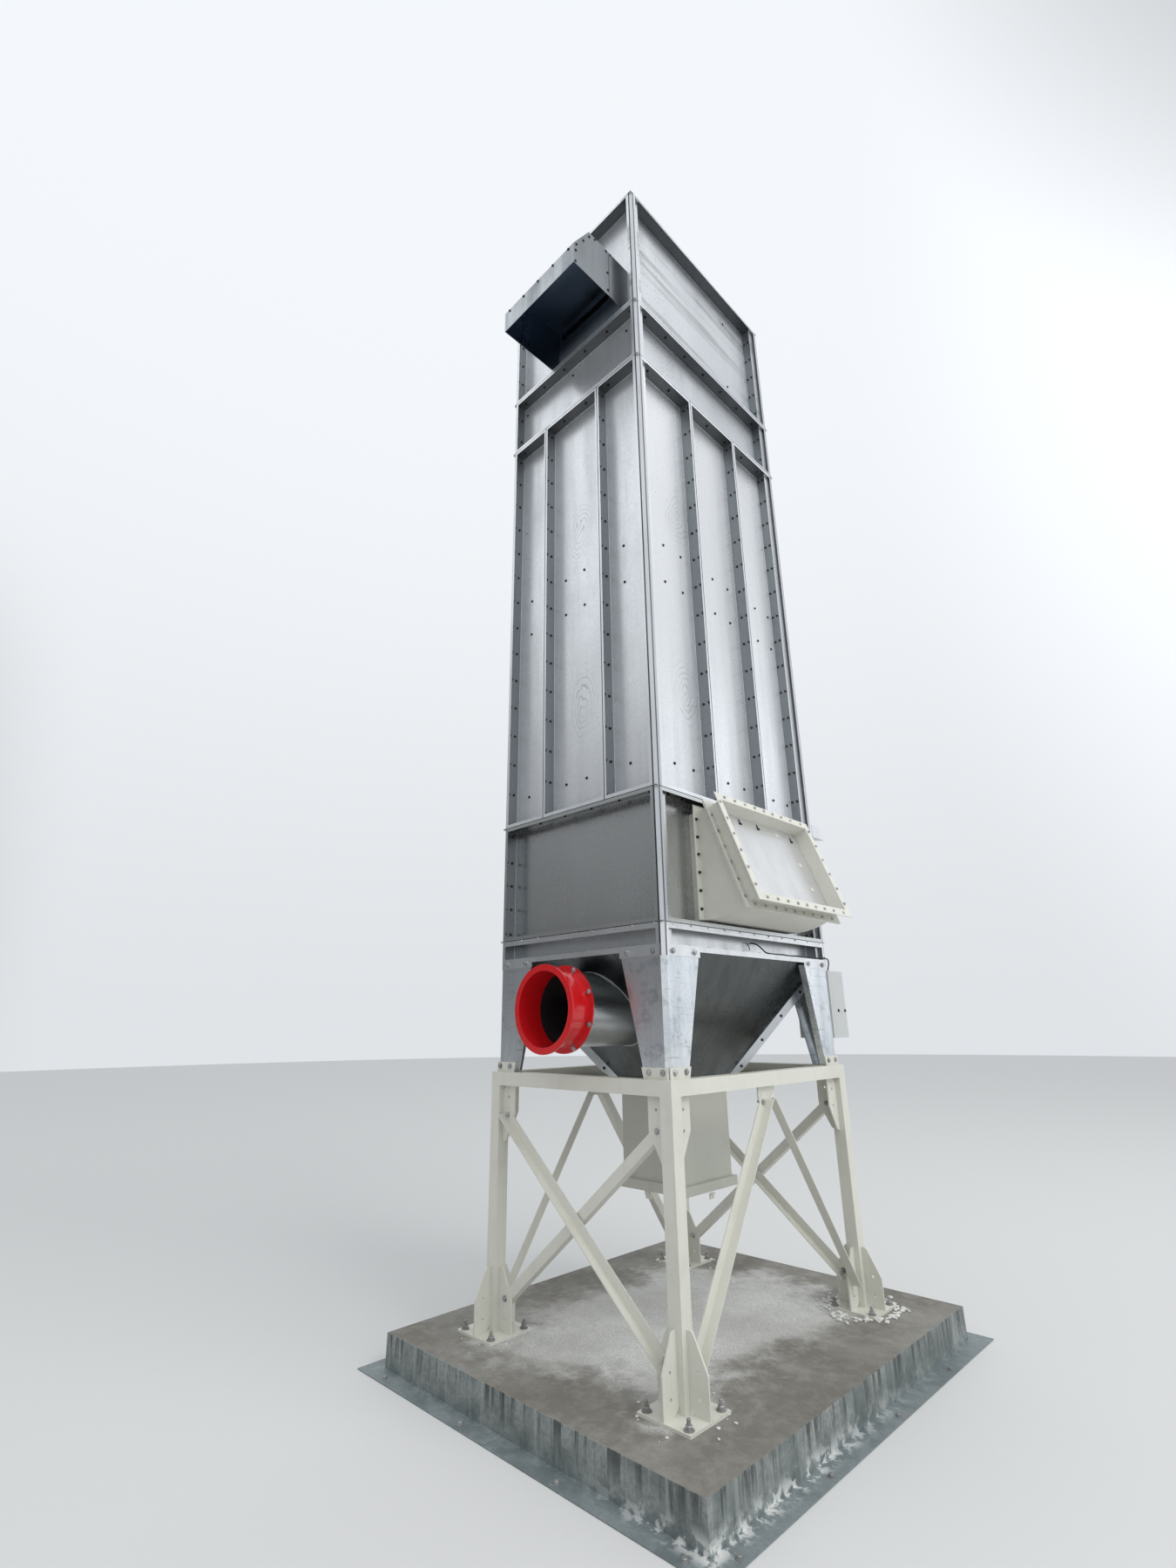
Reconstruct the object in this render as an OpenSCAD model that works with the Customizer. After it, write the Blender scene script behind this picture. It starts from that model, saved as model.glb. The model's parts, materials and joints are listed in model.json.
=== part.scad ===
// Modular bag filter tower: bolted tray panels on a pyramid hopper, braced steel frame and concrete plinth.
// Origin: centre of the plinth's base, on the ground. +Z is up. -Y is the face with the dust inlet and the
// exhaust cowl, and +X is the face with the explosion vent. All lengths are millimetres.

/* [Plinth] */
// Length of the concrete plinth along X
plinth_x = 2020; // [1700:10:2600]
// Length of the concrete plinth along Y
plinth_y = 2370; // [2100:10:3000]
// Height of the plinth
plinth_h = 155; // [80:5:300]
// Thickness of the galvanised edge form around the plinth
form_t = 3; // [2:0.5:6]
// Width of the edge form's foot on the ground
form_foot = 100; // [40:5:150]

/* [Support frame] */
// Outer length of the ring beam along X
frame_x = 1300; // [1260:10:1500]
// Outer length of the ring beam along Y
frame_y = 1664; // [1640:2:1800]
// Height of the ring beam's top above the plinth
frame_h = 1250; // [1150:10:1400]
// Depth and width of the ring beam's channel
ring_depth = 70; // [60:5:100]
// Thickness of the ring beam's plate
ring_t = 6; // [4:1:10]
// Side of the square hollow legs
leg_w = 70; // [60:5:100]
// Wall of the legs
leg_t = 5; // [3:1:8]
// Side of the base plates
base_w = 270; // [250:5:300]
// Thickness of the base plates
base_t = 12; // [8:1:20]
// Diameter of the anchor holes
anchor_d = 18; // [12:1:24]
// Distance of the anchor holes from the plate's edges
anchor_edge = 28; // [22:1:40]
// How far the stiffener fins reach out from a leg
fin_reach = 98; // [80:1:105]
// Height of the stiffener fins
fin_h = 285; // [240:5:340]
// Height of the upright part of a fin's outer edge
fin_knee = 150; // [120:5:200]
// Thickness of the fins
fin_t = 8; // [5:1:12]
// Diameter of the holes in the fins
fin_hole_d = 14; // [8:1:18]
// Leaf width of the brace angles
brace_w = 50; // [40:5:60]
// Leaf thickness of the brace angles
brace_t = 5; // [4:1:8]

/* [Tower] */
// Outer length of the tower along X
tower_x = 1256; // [1200:2:1256]
// Outer length of the tower along Y
tower_y = 1628; // [1560:2:1628]
// Depth of the tray panels, from the lips to the back of the sheet
tray_d = 90; // [70:1:100]
// Thickness of the tray panels' sheet
sheet_t = 3; // [2:0.5:4]
// Width of the lips along the upright ribs
rib_lip = 16; // [12:1:24]
// Width of the lips along the sections' edges
edge_lip = 20; // [14:1:26]
// Width of the lips beside the tower's corners
corner_lip = 22; // [16:1:30]
// Size of the chamfer along the tower's corners
corner_cut = 24; // [16:1:30]
// Width of the groove between a corner post and the tray beside it
post_groove = 3; // [1:0.5:5]
// Gap between neighbouring trays at an upright rib
rib_gap = 2; // [1:0.5:4]
// Thickness of the sealing strip between sections
gasket_t = 4; // [3:0.5:6]
// Distance of the ribs on the front and back from the middle
rib_x = 255; // [220:5:300]
// Distance of the ribs on the right and left from the middle
rib_y = 260; // [220:5:320]
// Height of the collar under the plenum, with its lower rail
collar_h = 132; // [110:2:180]
// Height of the plenum section
plenum_h = 700; // [680:10:760]
// Height of the filter section
filter_h = 2945; // [2400:5:3400]
// Height of the band above the filter section
band_h = 480; // [300:10:600]
// Height of the fan chamber at the top
chamber_h = 1040; // [900:10:1200]
// Rise of the roof sheet at its middle
roof_rise = 20; // [10:1:40]

/* [Hopper and chute] */
// Distance of the hopper's top edge inside the tower's outer faces
hopper_inset = 30; // [26:1:60]
// Side of the square chute
chute_w = 430; // [360:10:500]
// Clear height under the chute, above the plinth
chute_clear = 636; // [560:2:700]
// Thickness of the hopper's and the chute's plate
hopper_t = 4; // [3:0.5:6]
// Height of the rim around the chute's mouth
chute_rim_h = 48; // [30:2:70]
// How far the rim stands out from the chute
chute_rim_out = 22; // [14:1:40]
// How far the flanges between hopper and chute stand out
outlet_flange = 28; // [20:1:40]
// Width of the standing seams along the hopper's corners
seam_w = 42; // [25:1:60]
// Thickness of the standing seams
seam_t = 6; // [4:1:10]

/* [Corner brackets] */
// Height of the space between the ring beam and the collar's lower edge
bracket_gap = 560; // [480:5:640]
// Width of a bracket's leaf at its top
bracket_top_w = 290; // [240:5:320]
// Width of a bracket's leaf at its foot
bracket_foot_w = 145; // [120:5:180]
// Thickness of the bracket's plate
bracket_t = 4; // [3:0.5:6]
// Depth of the return fold along the sloping edges
bracket_return = 40; // [20:2:50]
// Height of the lower rail's lip on the collar
rail_lip = 28; // [20:1:34]
// Depth of the collar's corner tabs below the lower rail's flange
tab_h = 56; // [44:2:70]
// Height of the cleats on the ring beam
cleat_h = 52; // [40:2:70]
// Thickness of the cleats
cleat_t = 6; // [4:1:8]

/* [Dust inlet] */
// Height of the inlet's axis above the ring beam
inlet_up = 325; // [310:5:335]
// Outer diameter of the inlet pipe
inlet_d = 380; // [340:5:390]
// Wall of the inlet pipe
inlet_t = 3; // [2:0.5:5]
// Thickness of the flange on the inlet pipe's end
stub_flange_t = 4; // [3:0.5:8]
// Distance of the pipe joint in front of the tower's face
inlet_reach = 66; // [40:2:120]
// Length of the flanged spool
spool_l = 150; // [100:5:220]
// Outer diameter of the spool's flanges
spool_flange_d = 440; // [430:2:460]
// Thickness of the spool's flanges
spool_flange_t = 8; // [5:1:12]
// Bolt circle of the spool's flanges
spool_bolt_circle = 412; // [406:1:420]
// Diameter of the spool's bolt holes
spool_hole_d = 10; // [8:1:11]
// Number of bolt holes in a flange
spool_holes = 8; // [6:1:10]

/* [Exhaust cowl] */
// Width of the cowl
cowl_w = 700; // [600:10:780]
// Distance of the cowl's middle to the right of the tower's middle
cowl_off = 140; // [100:5:150]
// Height of the cowl's side plates
cowl_h = 412; // [340:4:440]
// Height of the cowl's lower edge above the band
cowl_up = 44; // [30:2:80]
// How far the cowl reaches out from the chamber's sheet
cowl_reach = 523; // [420:1:600]
// Horizontal run of the cowl's sloping face
cowl_slope_run = 142; // [100:2:200]
// Height of the cowl's upright front strip
cowl_front_h = 170; // [100:5:220]
// Thickness of the cowl's sheet
cowl_t = 2.5; // [2:0.5:4]
// Distance of the outlet opening's edges inside the cowl
cowl_port_edge = 36; // [20:2:60]

/* [Explosion vent] */
// Length of the vent's frames along Y
vent_l = 986; // [860:2:1100]
// Height of the vent's frames along their slope
vent_s = 648; // [600:2:660]
// Tilt of the vent's frames from the upright
vent_tilt = 20.3; // [12:0.1:24]
// Distance of the vent's middle behind the tower's middle
vent_off = 20; // [0:5:60]
// Width of the vent's flanges
vent_flange = 40; // [30:1:50]
// Thickness of the vent's flanges
vent_flange_t = 5; // [3:0.5:8]
// Depth of the frame in front of the vent panel
vent_frame_d = 84; // [60:2:110]
// Thickness of the vent's plate
vent_t = 4; // [3:0.5:6]
// Distance of the frame's upper edge outside the tower's face
vent_top_out = 36; // [30:1:60]
// Distance of the frame's upper edge below the plenum's top
vent_top_down = 20; // [16:1:40]
// Distance of the wall flange outside the plenum's sheet
vent_neck = 56; // [40:2:80]
// Thickness of the bursting panel
vent_panel_t = 3; // [1.5:0.5:4]

/* [Control box] */
// Width of the control box along X
box_w = 230; // [180:10:260]
// Depth of the control box along Y
box_d = 190; // [120:5:240]
// Height of the control box
box_h = 400; // [300:10:440]
// Thickness of the control box's sheet
box_t = 2; // [1.5:0.5:4]

/* [Sensor cable] */
// Thickness of the cable between the vent and the control box
cable_d = 8; // [6:0.5:9]

/* [Hidden] */
$fn = 48;

// Colours of the finishes.
galvanised = [0.74, 0.76, 0.78];
galvanised_dark = [0.50, 0.53, 0.56];
cream = [0.86, 0.85, 0.79];
red_gloss = [0.80, 0.06, 0.07];
concrete = [0.55, 0.52, 0.48];
seal_black = [0.08, 0.08, 0.09];
box_grey = [0.80, 0.81, 0.80];

// A cut reaches this far past the faces that it goes through.
past = 1;

// Half sizes.
half_x = tower_x / 2;
half_y = tower_y / 2;
frame_half_x = frame_x / 2;
frame_half_y = frame_y / 2;

// Levels above the ground.
z_ring = plinth_h + frame_h;
z_ring_under = z_ring - ring_depth;
z_tab = z_ring + bracket_gap;
z_collar = z_tab + tab_h - sheet_t;
z_plenum = z_tab + tab_h - rail_lip + collar_h;
z_filter = z_plenum + plenum_h;
z_band = z_filter + filter_h;
z_chamber = z_band + band_h;
z_top = z_chamber + chamber_h;
z_mouth = plinth_h + chute_clear;
z_outlet = z_ring_under;
// Bottom and top of each section above the collar.
sections = [[z_plenum, z_filter], [z_filter, z_band], [z_band, z_chamber], [z_chamber, z_top]];

// The upright walls of the front and back trays stand this far from the middle.
front_half = half_x - corner_cut;
// The sheets' outer faces stand this far from the middle.
sheet_x = half_x - tray_d + sheet_t;
sheet_y = half_y - tray_d + sheet_t;
// The right and left trays start behind the corner posts.
side_half = half_y - tray_d;
side_wing = tray_d - corner_cut - corner_lip;

// Centres of the legs.
leg_x = frame_half_x - leg_w / 2;
leg_y = frame_half_y - leg_w / 2;
// Bolt places on the fins, from a leg's face and from the fin's foot.
fin_bolt_out = fin_reach / 2;
fin_bolt_low = fin_h * 0.21;
fin_bolt_high = fin_knee;
brace_x = leg_x - leg_w / 2 - fin_bolt_out;
brace_y = leg_y - leg_w / 2 - fin_bolt_out;
z_brace_foot = plinth_h + base_t + fin_bolt_high;
z_brace_top = z_ring_under - fin_bolt_high;
// The bolts of the apex plates under the ring beam.
apex_half = 48;
apex_drop = 76;
apex_plate_h = 105;
apex_plate_half = 78;
brace_over = 30;

// Hopper's half sizes at its top and at its outlet.
hopper_x = half_x - hopper_inset;
hopper_y = half_y - hopper_inset;
chute_half = chute_w / 2;
hopper_h = z_collar - z_outlet;
hopper_slope_x = (hopper_x - chute_half) / hopper_h;
hopper_slope_y = (hopper_y - chute_half) / hopper_h;
// The brackets' return folds stop this far below the collar, clear of the hopper.
return_clear = 14;
return_rise = (bracket_return + sheet_t - hopper_inset) / min(hopper_slope_x, hopper_slope_y);
return_stop = max(return_clear, return_rise + return_clear);

// Inlet axis and the plane of the joint between pipe and spool.
z_inlet = z_ring + inlet_up;
inlet_joint_y = -half_y - inlet_reach;

// Vent: foot of the neck, place and slope of the inner frame's plane.
vent_plane_x = half_x + vent_top_out;
vent_plane_z = z_filter - vent_top_down;
vent_body_half = vent_l / 2 - vent_flange;
// Clear strips of the sheet below the duct's foot and above its head.
vent_foot_clear = 16;
vent_head_clear = 12;
z_vent_foot = z_plenum + gasket_t + edge_lip + vent_foot_clear;
z_vent_head = vent_plane_z - vent_flange - vent_head_clear;
// The belly's curve starts this far outside the wall flange.
vent_belly_start = 30;

// The control box hangs this far below the collar's tabs.
box_drop = 8;
z_box = z_tab - box_drop;

// Route of the sensor cable: out of the collar's sheet under the vent, down to the lower rail, along it,
// round the back right post and down into the control box.
cable_r = cable_d / 2;
rail_top = z_collar + sheet_t + cable_r;
post_out = half_x + cable_r + 1;
cable_path = [
    [sheet_x, 88, z_plenum - 40],
    [sheet_x + 12, 88, z_plenum - 40],
    [sheet_x + 34, 104, z_plenum - 50],
    [sheet_x + 50, 122, z_plenum - 72],
    [sheet_x + 62, 142, rail_top + 6],
    [half_x - 14, 172, rail_top + 1],
    [half_x - 11, 230, rail_top + 0.5],
    [half_x - 12, 300, rail_top + 3],
    [half_x - 10, 380, rail_top + 0.5],
    [half_x - 13, 470, rail_top + 4],
    [half_x - 10, 550, rail_top + 0.5],
    [half_x - 12, 620, rail_top + 2],
    [half_x - 9, 680, rail_top + 3],
    [half_x - 6, 715, rail_top + 5],
    [half_x + 1, 742, rail_top + 7],
    [post_out, 764, rail_top + 8],
    [post_out + 2, 790, rail_top + 6],
    [post_out, 816, rail_top + 1],
    [post_out - 8, 840, rail_top - 8],
    [post_out - 18, 858, rail_top - 24],
    [post_out - 26, 864, rail_top - 42],
    [post_out - 30, 864, z_box + 12],
    [post_out - 30, 864, z_box]
];

// Four walls: the drawing is made for the front and turned to the right, back and left.
module to_wall(side) {
    rotate([0, 0, side * 90])
        children();
}

// Four corners: the drawing is made for the front right one and mirrored.
module to_corner(mirror_x, mirror_y) {
    mirror([mirror_x, 0, 0])
        mirror([0, mirror_y, 0])
            children();
}

// PLINTH

module plinth() {
    color(concrete)
        translate([-plinth_x / 2 + form_t, -plinth_y / 2 + form_t, 0])
            cube([plinth_x - 2 * form_t, plinth_y - 2 * form_t, plinth_h]);
}

// One side of the folded edge form: an upright sheet and a foot, mitred at both ends.
module edge_form(side) {
    across = (side % 2 == 0) ? plinth_y / 2 : plinth_x / 2;
    along = (side % 2 == 0) ? plinth_x / 2 : plinth_y / 2;
    color(galvanised_dark)
        to_wall(side) {
            difference() {
                translate([-along - form_foot, -across - form_foot, 0])
                    cube([2 * (along + form_foot), form_foot + form_t, plinth_h]);
                translate([-along - form_foot - past, -across - form_foot - past, form_t])
                    cube([2 * (along + form_foot + past), form_foot + past, plinth_h]);
                for (end = [0, 1])
                    mirror([end, 0, 0])
                        translate([along, -across, -past])
                            rotate([0, 0, 45])
                                translate([0, -form_foot * 4, 0])
                                    cube([form_foot * 4, form_foot * 8, plinth_h + 2 * past]);
            }
        }
}

// SUPPORT FRAME

// Outline of a stiffener fin: foot on the plate, cleared corner at the weld, sloping outer edge.
module fin_outline() {
    relief = 26;
    nose = 24;
    polygon([
        [relief, 0],
        [fin_reach, 0],
        [fin_reach, fin_knee],
        [nose + 8, fin_h - 10],
        [nose, fin_h - 2],
        [nose - 10, fin_h],
        [0, fin_h],
        [0, relief]
    ]);
}

// A fin in the XZ plane, starting at x = 0, with its two bolt holes.
module fin() {
    difference() {
        translate([0, fin_t / 2, 0])
            rotate([90, 0, 0])
                linear_extrude(fin_t)
                    fin_outline();
        for (up = [fin_bolt_low, fin_bolt_high])
            translate([fin_bolt_out, 0, up])
                rotate([90, 0, 0])
                    cylinder(d = fin_hole_d, h = fin_t + 2 * past, center = true);
    }
}

// A leg with its base plate, four fins at the foot and two at the head, for the front right corner.
module leg_piece() {
    foot = plinth_h + base_t;
    tube = z_ring_under - foot;
    translate([leg_x, -leg_y, 0]) {
        difference() {
            translate([-base_w / 2, -base_w / 2, plinth_h])
                cube([base_w, base_w, base_t]);
            for (x = [-1, 1], y = [-1, 1])
                translate([x * (base_w / 2 - anchor_edge), y * (base_w / 2 - anchor_edge), plinth_h - past])
                    cylinder(d = anchor_d, h = base_t + 2 * past);
        }
        difference() {
            translate([-leg_w / 2, -leg_w / 2, foot])
                cube([leg_w, leg_w, tube]);
            translate([-leg_w / 2 + leg_t, -leg_w / 2 + leg_t, foot])
                cube([leg_w - 2 * leg_t, leg_w - 2 * leg_t, tube]);
        }
        for (turn = [0, 90, 180, 270])
            rotate([0, 0, turn])
                translate([leg_w / 2, 0, foot])
                    fin();
        for (turn = [90, 180])
            rotate([0, 0, turn])
                translate([leg_w / 2, 0, z_ring_under])
                    mirror([0, 0, 1])
                        fin();
    }
}

module leg(mirror_x, mirror_y) {
    color(cream)
        to_corner(mirror_x, mirror_y)
            leg_piece();
}

// Plate under the middle of the right and left ring beams, where two braces meet.
module apex_plate() {
    translate([0, fin_t / 2, z_ring_under])
        rotate([90, 0, 0])
            difference() {
                linear_extrude(fin_t)
                    polygon([
                        [-apex_plate_half, 0],
                        [-apex_plate_half, -apex_plate_h * 0.6],
                        [-apex_plate_half * 0.7, -apex_plate_h],
                        [apex_plate_half * 0.7, -apex_plate_h],
                        [apex_plate_half, -apex_plate_h * 0.6],
                        [apex_plate_half, 0]
                    ]);
                for (x = [-apex_half, apex_half])
                    translate([x, -apex_drop, -past])
                        cylinder(d = fin_hole_d, h = fin_t + 2 * past);
            }
}

// A cleat as a front view. Its outer end leans out with the bracket's sloping edge.
module cleat_outline() {
    taper = (bracket_top_w - bracket_foot_w) / (z_collar - z_ring);
    polygon([
        [0, 0],
        [bracket_foot_w, 0],
        [bracket_foot_w + taper * cleat_h, cleat_h],
        [0, cleat_h]
    ]);
}

// Cleats for one corner bracket: two plates on the ring beam, in front of the bracket's leaves.
module cleats() {
    face_x = half_x - sheet_t;
    face_y = half_y - sheet_t;
    short = 4;
    translate([face_x - short, -face_y, z_ring])
        rotate([90, 0, 0])
            linear_extrude(cleat_t)
                mirror([1, 0, 0])
                    cleat_outline();
    translate([face_x, -face_y + short, z_ring])
        rotate([90, 0, 90])
            linear_extrude(cleat_t)
                cleat_outline();
}

// Channel ring with its open side inwards, the cleats on top and the apex plates underneath.
module ring_beam() {
    color(cream) {
        difference() {
            translate([-frame_half_x, -frame_half_y, z_ring_under])
                cube([frame_x, frame_y, ring_depth]);
            translate([-frame_half_x + ring_depth, -frame_half_y + ring_depth, z_ring_under - past])
                cube([frame_x - 2 * ring_depth, frame_y - 2 * ring_depth, ring_depth + 2 * past]);
            translate([-frame_half_x + ring_t, -frame_half_y + ring_t, z_ring_under + ring_t])
                cube([frame_x - 2 * ring_t, frame_y - 2 * ring_t, ring_depth - 2 * ring_t]);
        }
        for (mx = [0, 1], my = [0, 1])
            to_corner(mx, my)
                cleats();
        for (side = [1, 3])
            to_wall(side)
                translate([0, -leg_x, 0])
                    apex_plate();
    }
}

// An angle iron between two bolts in a wall's plane. The flat leaf lies on the fins, outside or inside.
module brace_bar(x0, z0, x1, z1, outside, lower_leaf) {
    run = x1 - x0;
    rise = z1 - z0;
    bar = sqrt(run * run + rise * rise);
    tilt = atan2(rise, run);
    leaf_z = lower_leaf ? -brace_w / 2 : brace_w / 2 - brace_t;
    translate([x0, 0, z0])
        rotate([0, -tilt, 0])
            mirror([0, outside ? 0 : 1, 0])
                translate([-brace_over, -fin_t / 2 - brace_t, 0]) {
                    difference() {
                        translate([0, 0, -brace_w / 2])
                            cube([bar + 2 * brace_over, brace_t, brace_w]);
                        for (end = [brace_over, brace_over + bar])
                            translate([end, -past, 0])
                                rotate([-90, 0, 0])
                                    cylinder(d = fin_hole_d, h = brace_t + 2 * past);
                    }
                    translate([0, brace_t - brace_w, leaf_z])
                        cube([bar + 2 * brace_over, brace_w, brace_t]);
                }
}

// One bar of the crossed bracing on the front or back.
module cross_brace(side, rising) {
    color(cream)
        to_wall(side)
            translate([0, -leg_y, 0])
                if (rising)
                    brace_bar(-brace_x, z_brace_foot, brace_x, z_brace_top, false, true);
                else
                    brace_bar(-brace_x, z_brace_top, brace_x, z_brace_foot, true, true);
}

// One bar of the right or left bracing, from a leg's foot to the apex plate.
module apex_brace(side, first) {
    color(cream)
        to_wall(side)
            translate([0, -leg_x, 0])
                if (first)
                    brace_bar(-brace_y, z_brace_foot, -apex_half, z_ring_under - apex_drop, true, true);
                else
                    brace_bar(apex_half, z_ring_under - apex_drop, brace_y, z_brace_foot, true, true);
}

// HOPPER AND CHUTE

module square_frame(outer, inner, z, h) {
    translate([0, 0, z])
        linear_extrude(h)
            difference() {
                square(outer, center = true);
                square(inner, center = true);
            }
}

// Square duct under the hopper, with a flange at its top and a deep rim around its mouth.
module chute() {
    top = z_outlet - hopper_t;
    inside = chute_w - 2 * hopper_t;
    rim = chute_w + 2 * chute_rim_out;
    color(cream) {
        square_frame(chute_w, inside, z_mouth, top - z_mouth);
        square_frame(chute_w + 2 * outlet_flange, inside, top - hopper_t, hopper_t);
        square_frame(rim, inside, z_mouth + chute_rim_h - hopper_t, hopper_t);
        square_frame(rim, rim - 2 * hopper_t, z_mouth, chute_rim_h);
    }
}

// A solid with two level rectangular ends of half sizes x0, y0 at z0 and x1, y1 at z1.
module frustum(x0, y0, z0, x1, y1, z1) {
    polyhedron(
        points = [
            [-x0, -y0, z0],
            [x0, -y0, z0],
            [x0, y0, z0],
            [-x0, y0, z0],
            [-x1, -y1, z1],
            [x1, -y1, z1],
            [x1, y1, z1],
            [-x1, y1, z1]
        ],
        faces = [
            [0, 1, 2, 3],
            [4, 7, 6, 5],
            [0, 4, 5, 1],
            [1, 5, 6, 2],
            [2, 6, 7, 3],
            [3, 7, 4, 0]
        ]
    );
}

// The hopper's funnel, smaller on every side by inset and longer at both ends by over.
module hopper_form(inset, over) {
    frustum(
        chute_half - inset - over * hopper_slope_x,
        chute_half - inset - over * hopper_slope_y,
        z_outlet - over,
        hopper_x - inset + over * hopper_slope_x,
        hopper_y - inset + over * hopper_slope_y,
        z_collar + over
    );
}

// Standing seam along one sloping corner, in the upright plane through that corner.
module hopper_seam() {
    run_x = hopper_x - chute_half;
    run_y = hopper_y - chute_half;
    run = sqrt(run_x * run_x + run_y * run_y);
    lean = run / hopper_h;
    span = seam_w * sqrt(1 + lean * lean);
    low = -hopper_t / 2;
    taper = 60;
    high = hopper_h - 12;
    inside = hopper_t;
    tip = run - 2;
    translate([chute_half, -chute_half, z_outlet])
        rotate([0, 0, -atan2(run_y, run_x)])
            translate([0, seam_t / 2, 0])
                rotate([90, 0, 0])
                    linear_extrude(seam_t)
                        polygon([
                            [low * lean - inside, low],
                            [outlet_flange, low],
                            [taper * lean + span, taper],
                            [tip, (tip - span) / lean],
                            [tip, high],
                            [high * lean - inside, high]
                        ]);
}

module hopper() {
    plate = chute_w + 2 * outlet_flange;
    color(galvanised_dark)
        difference() {
            union() {
                hopper_form(0, 0);
                for (mx = [0, 1], my = [0, 1])
                    to_corner(mx, my)
                        hopper_seam();
                square_frame(plate, chute_w - 2 * hopper_t, z_outlet - hopper_t, hopper_t);
            }
            hopper_form(hopper_t, past);
            translate([0, -half_y, z_inlet])
                rotate([-90, 0, 0])
                    cylinder(d = inlet_d - 2 * inlet_t, h = half_y);
        }
}

// CORNER BRACKETS

// One leaf of a bracket as a front view: x is the distance from the corner fold's start.
// The return fold stops below the collar, where the hopper's plate comes near.
module bracket_leaf(width_cut) {
    top = bracket_top_w - width_cut;
    foot = bracket_foot_w - width_cut;
    tall = z_collar - z_ring;
    stop = tall - return_stop;
    edge = foot + (top - foot) * stop / tall;
    linear_extrude(bracket_t)
        polygon([[0, 0], [foot, 0], [top, tall], [0, tall]]);
    linear_extrude(bracket_return)
        polygon([[foot - bracket_t, 0], [foot, 0], [edge, stop], [edge - bracket_t, stop]]);
}

// Bracket for the front right corner: two tapered leaves with return folds and a narrow corner strip.
module bracket_piece() {
    face_x = half_x - sheet_t;
    face_y = half_y - sheet_t;
    cut = corner_cut - sheet_t * (2 - sqrt(2));
    slip = bracket_t * (sqrt(2) - 1);
    tall = z_collar - z_ring;
    translate([face_x - cut, -face_y, z_ring])
        rotate([90, 0, 180])
            bracket_leaf(cut);
    translate([face_x, -face_y + cut, z_ring])
        rotate([90, 0, 90])
            mirror([0, 0, 1])
                bracket_leaf(cut);
    translate([0, 0, z_ring])
        linear_extrude(tall)
            polygon([
                [face_x - cut, -face_y],
                [face_x, -face_y + cut],
                [face_x - bracket_t, -face_y + cut + slip],
                [face_x - cut - slip, -face_y + bracket_t]
            ]);
}

module bracket(mirror_x, mirror_y) {
    color(galvanised)
        to_corner(mirror_x, mirror_y)
            bracket_piece();
}

// TRAY PANELS

// A folded tray on the front wall, from x0 to x1 and z0 to z1. Its lips lie in the tower's outer face.
// wing0 and wing1 are shallow edges that reach past its end walls to the corner posts.
module tray(half, x0, x1, z0, z1, lip0, lip1, lip_low, lip_high, wing0 = 0, wing1 = 0) {
    t = sheet_t;
    left = wing0 > 0 ? x0 - wing0 - past : x0 + lip0;
    right = wing1 > 0 ? x1 + wing1 + past : x1 - lip1;
    low = lip_low > 0 ? z0 + lip_low : z0 + t;
    translate([0, -half, 0])
        difference() {
            union() {
                translate([x0, 0, z0])
                    cube([x1 - x0, tray_d, z1 - z0]);
                if (wing0 > 0)
                    translate([x0 - wing0, 0, z0])
                        cube([wing0 + t, corner_cut, z1 - z0]);
                if (wing1 > 0)
                    translate([x1 - t, 0, z0])
                        cube([wing1 + t, corner_cut, z1 - z0]);
            }
            translate([x0 + t, t, z0 + t])
                cube([x1 - x0 - 2 * t, tray_d - 2 * t, z1 - z0 - 2 * t]);
            if (wing0 > 0)
                translate([x0 - wing0 - past, t, z0 + t])
                    cube([wing0 + 2 * t + past, corner_cut - 2 * t, z1 - z0 - 2 * t]);
            if (wing1 > 0)
                translate([x1 - 2 * t, t, z0 + t])
                    cube([wing1 + 2 * t + past, corner_cut - 2 * t, z1 - z0 - 2 * t]);
            translate([left, -past, low])
                cube([right - left, t + 2 * past, z1 - lip_high - low]);
        }
}

// A whole wall as one tray. Front and back stand between the corner posts, right and left lap behind them.
module wall_tray(side, z0, z1) {
    if (side % 2 == 0)
        tray(half_y, -front_half, front_half, z0, z1, corner_lip, corner_lip, edge_lip, edge_lip);
    else
        tray(half_x, -side_half, side_half, z0, z1, 0, 0, edge_lip, edge_lip, side_wing, side_wing);
}

// Three trays side by side, parted by upright ribs.
module ribbed_wall(side, z0, z1) {
    gap = rib_gap / 2;
    edge = edge_lip;
    if (side % 2 == 0) {
        tray(half_y, -front_half, -rib_x - gap, z0, z1, corner_lip, rib_lip, edge, edge);
        tray(half_y, -rib_x + gap, rib_x - gap, z0, z1, rib_lip, rib_lip, edge, edge);
        tray(half_y, rib_x + gap, front_half, z0, z1, rib_lip, corner_lip, edge, edge);
    } else {
        tray(half_x, -side_half, -rib_y - gap, z0, z1, 0, rib_lip, edge, edge, side_wing, 0);
        tray(half_x, -rib_y + gap, rib_y - gap, z0, z1, rib_lip, rib_lip, edge, edge);
        tray(half_x, rib_y + gap, side_half, z0, z1, rib_lip, 0, edge, edge, 0, side_wing);
    }
}

// Plan of a corner post: a leg against the front tray, the chamfer strip and the side lip.
// A narrow groove parts the chamfer strip from the tray.
module post_outline() {
    t = sheet_t;
    x = half_x;
    y = half_y;
    c = corner_cut;
    lap = corner_cut + corner_lip;
    polygon([
        [x - c, -y + 2 * post_groove],
        [x - c + post_groove, -y + post_groove],
        [x, -y + c],
        [x, -y + lap],
        [x - t, -y + lap],
        [x - t, -y + c + t * (sqrt(2) - 1)],
        [x - c + t, -y + t * (1 + sqrt(2))],
        [x - c + t, -y + lap],
        [x - c, -y + lap]
    ]);
}

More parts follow.
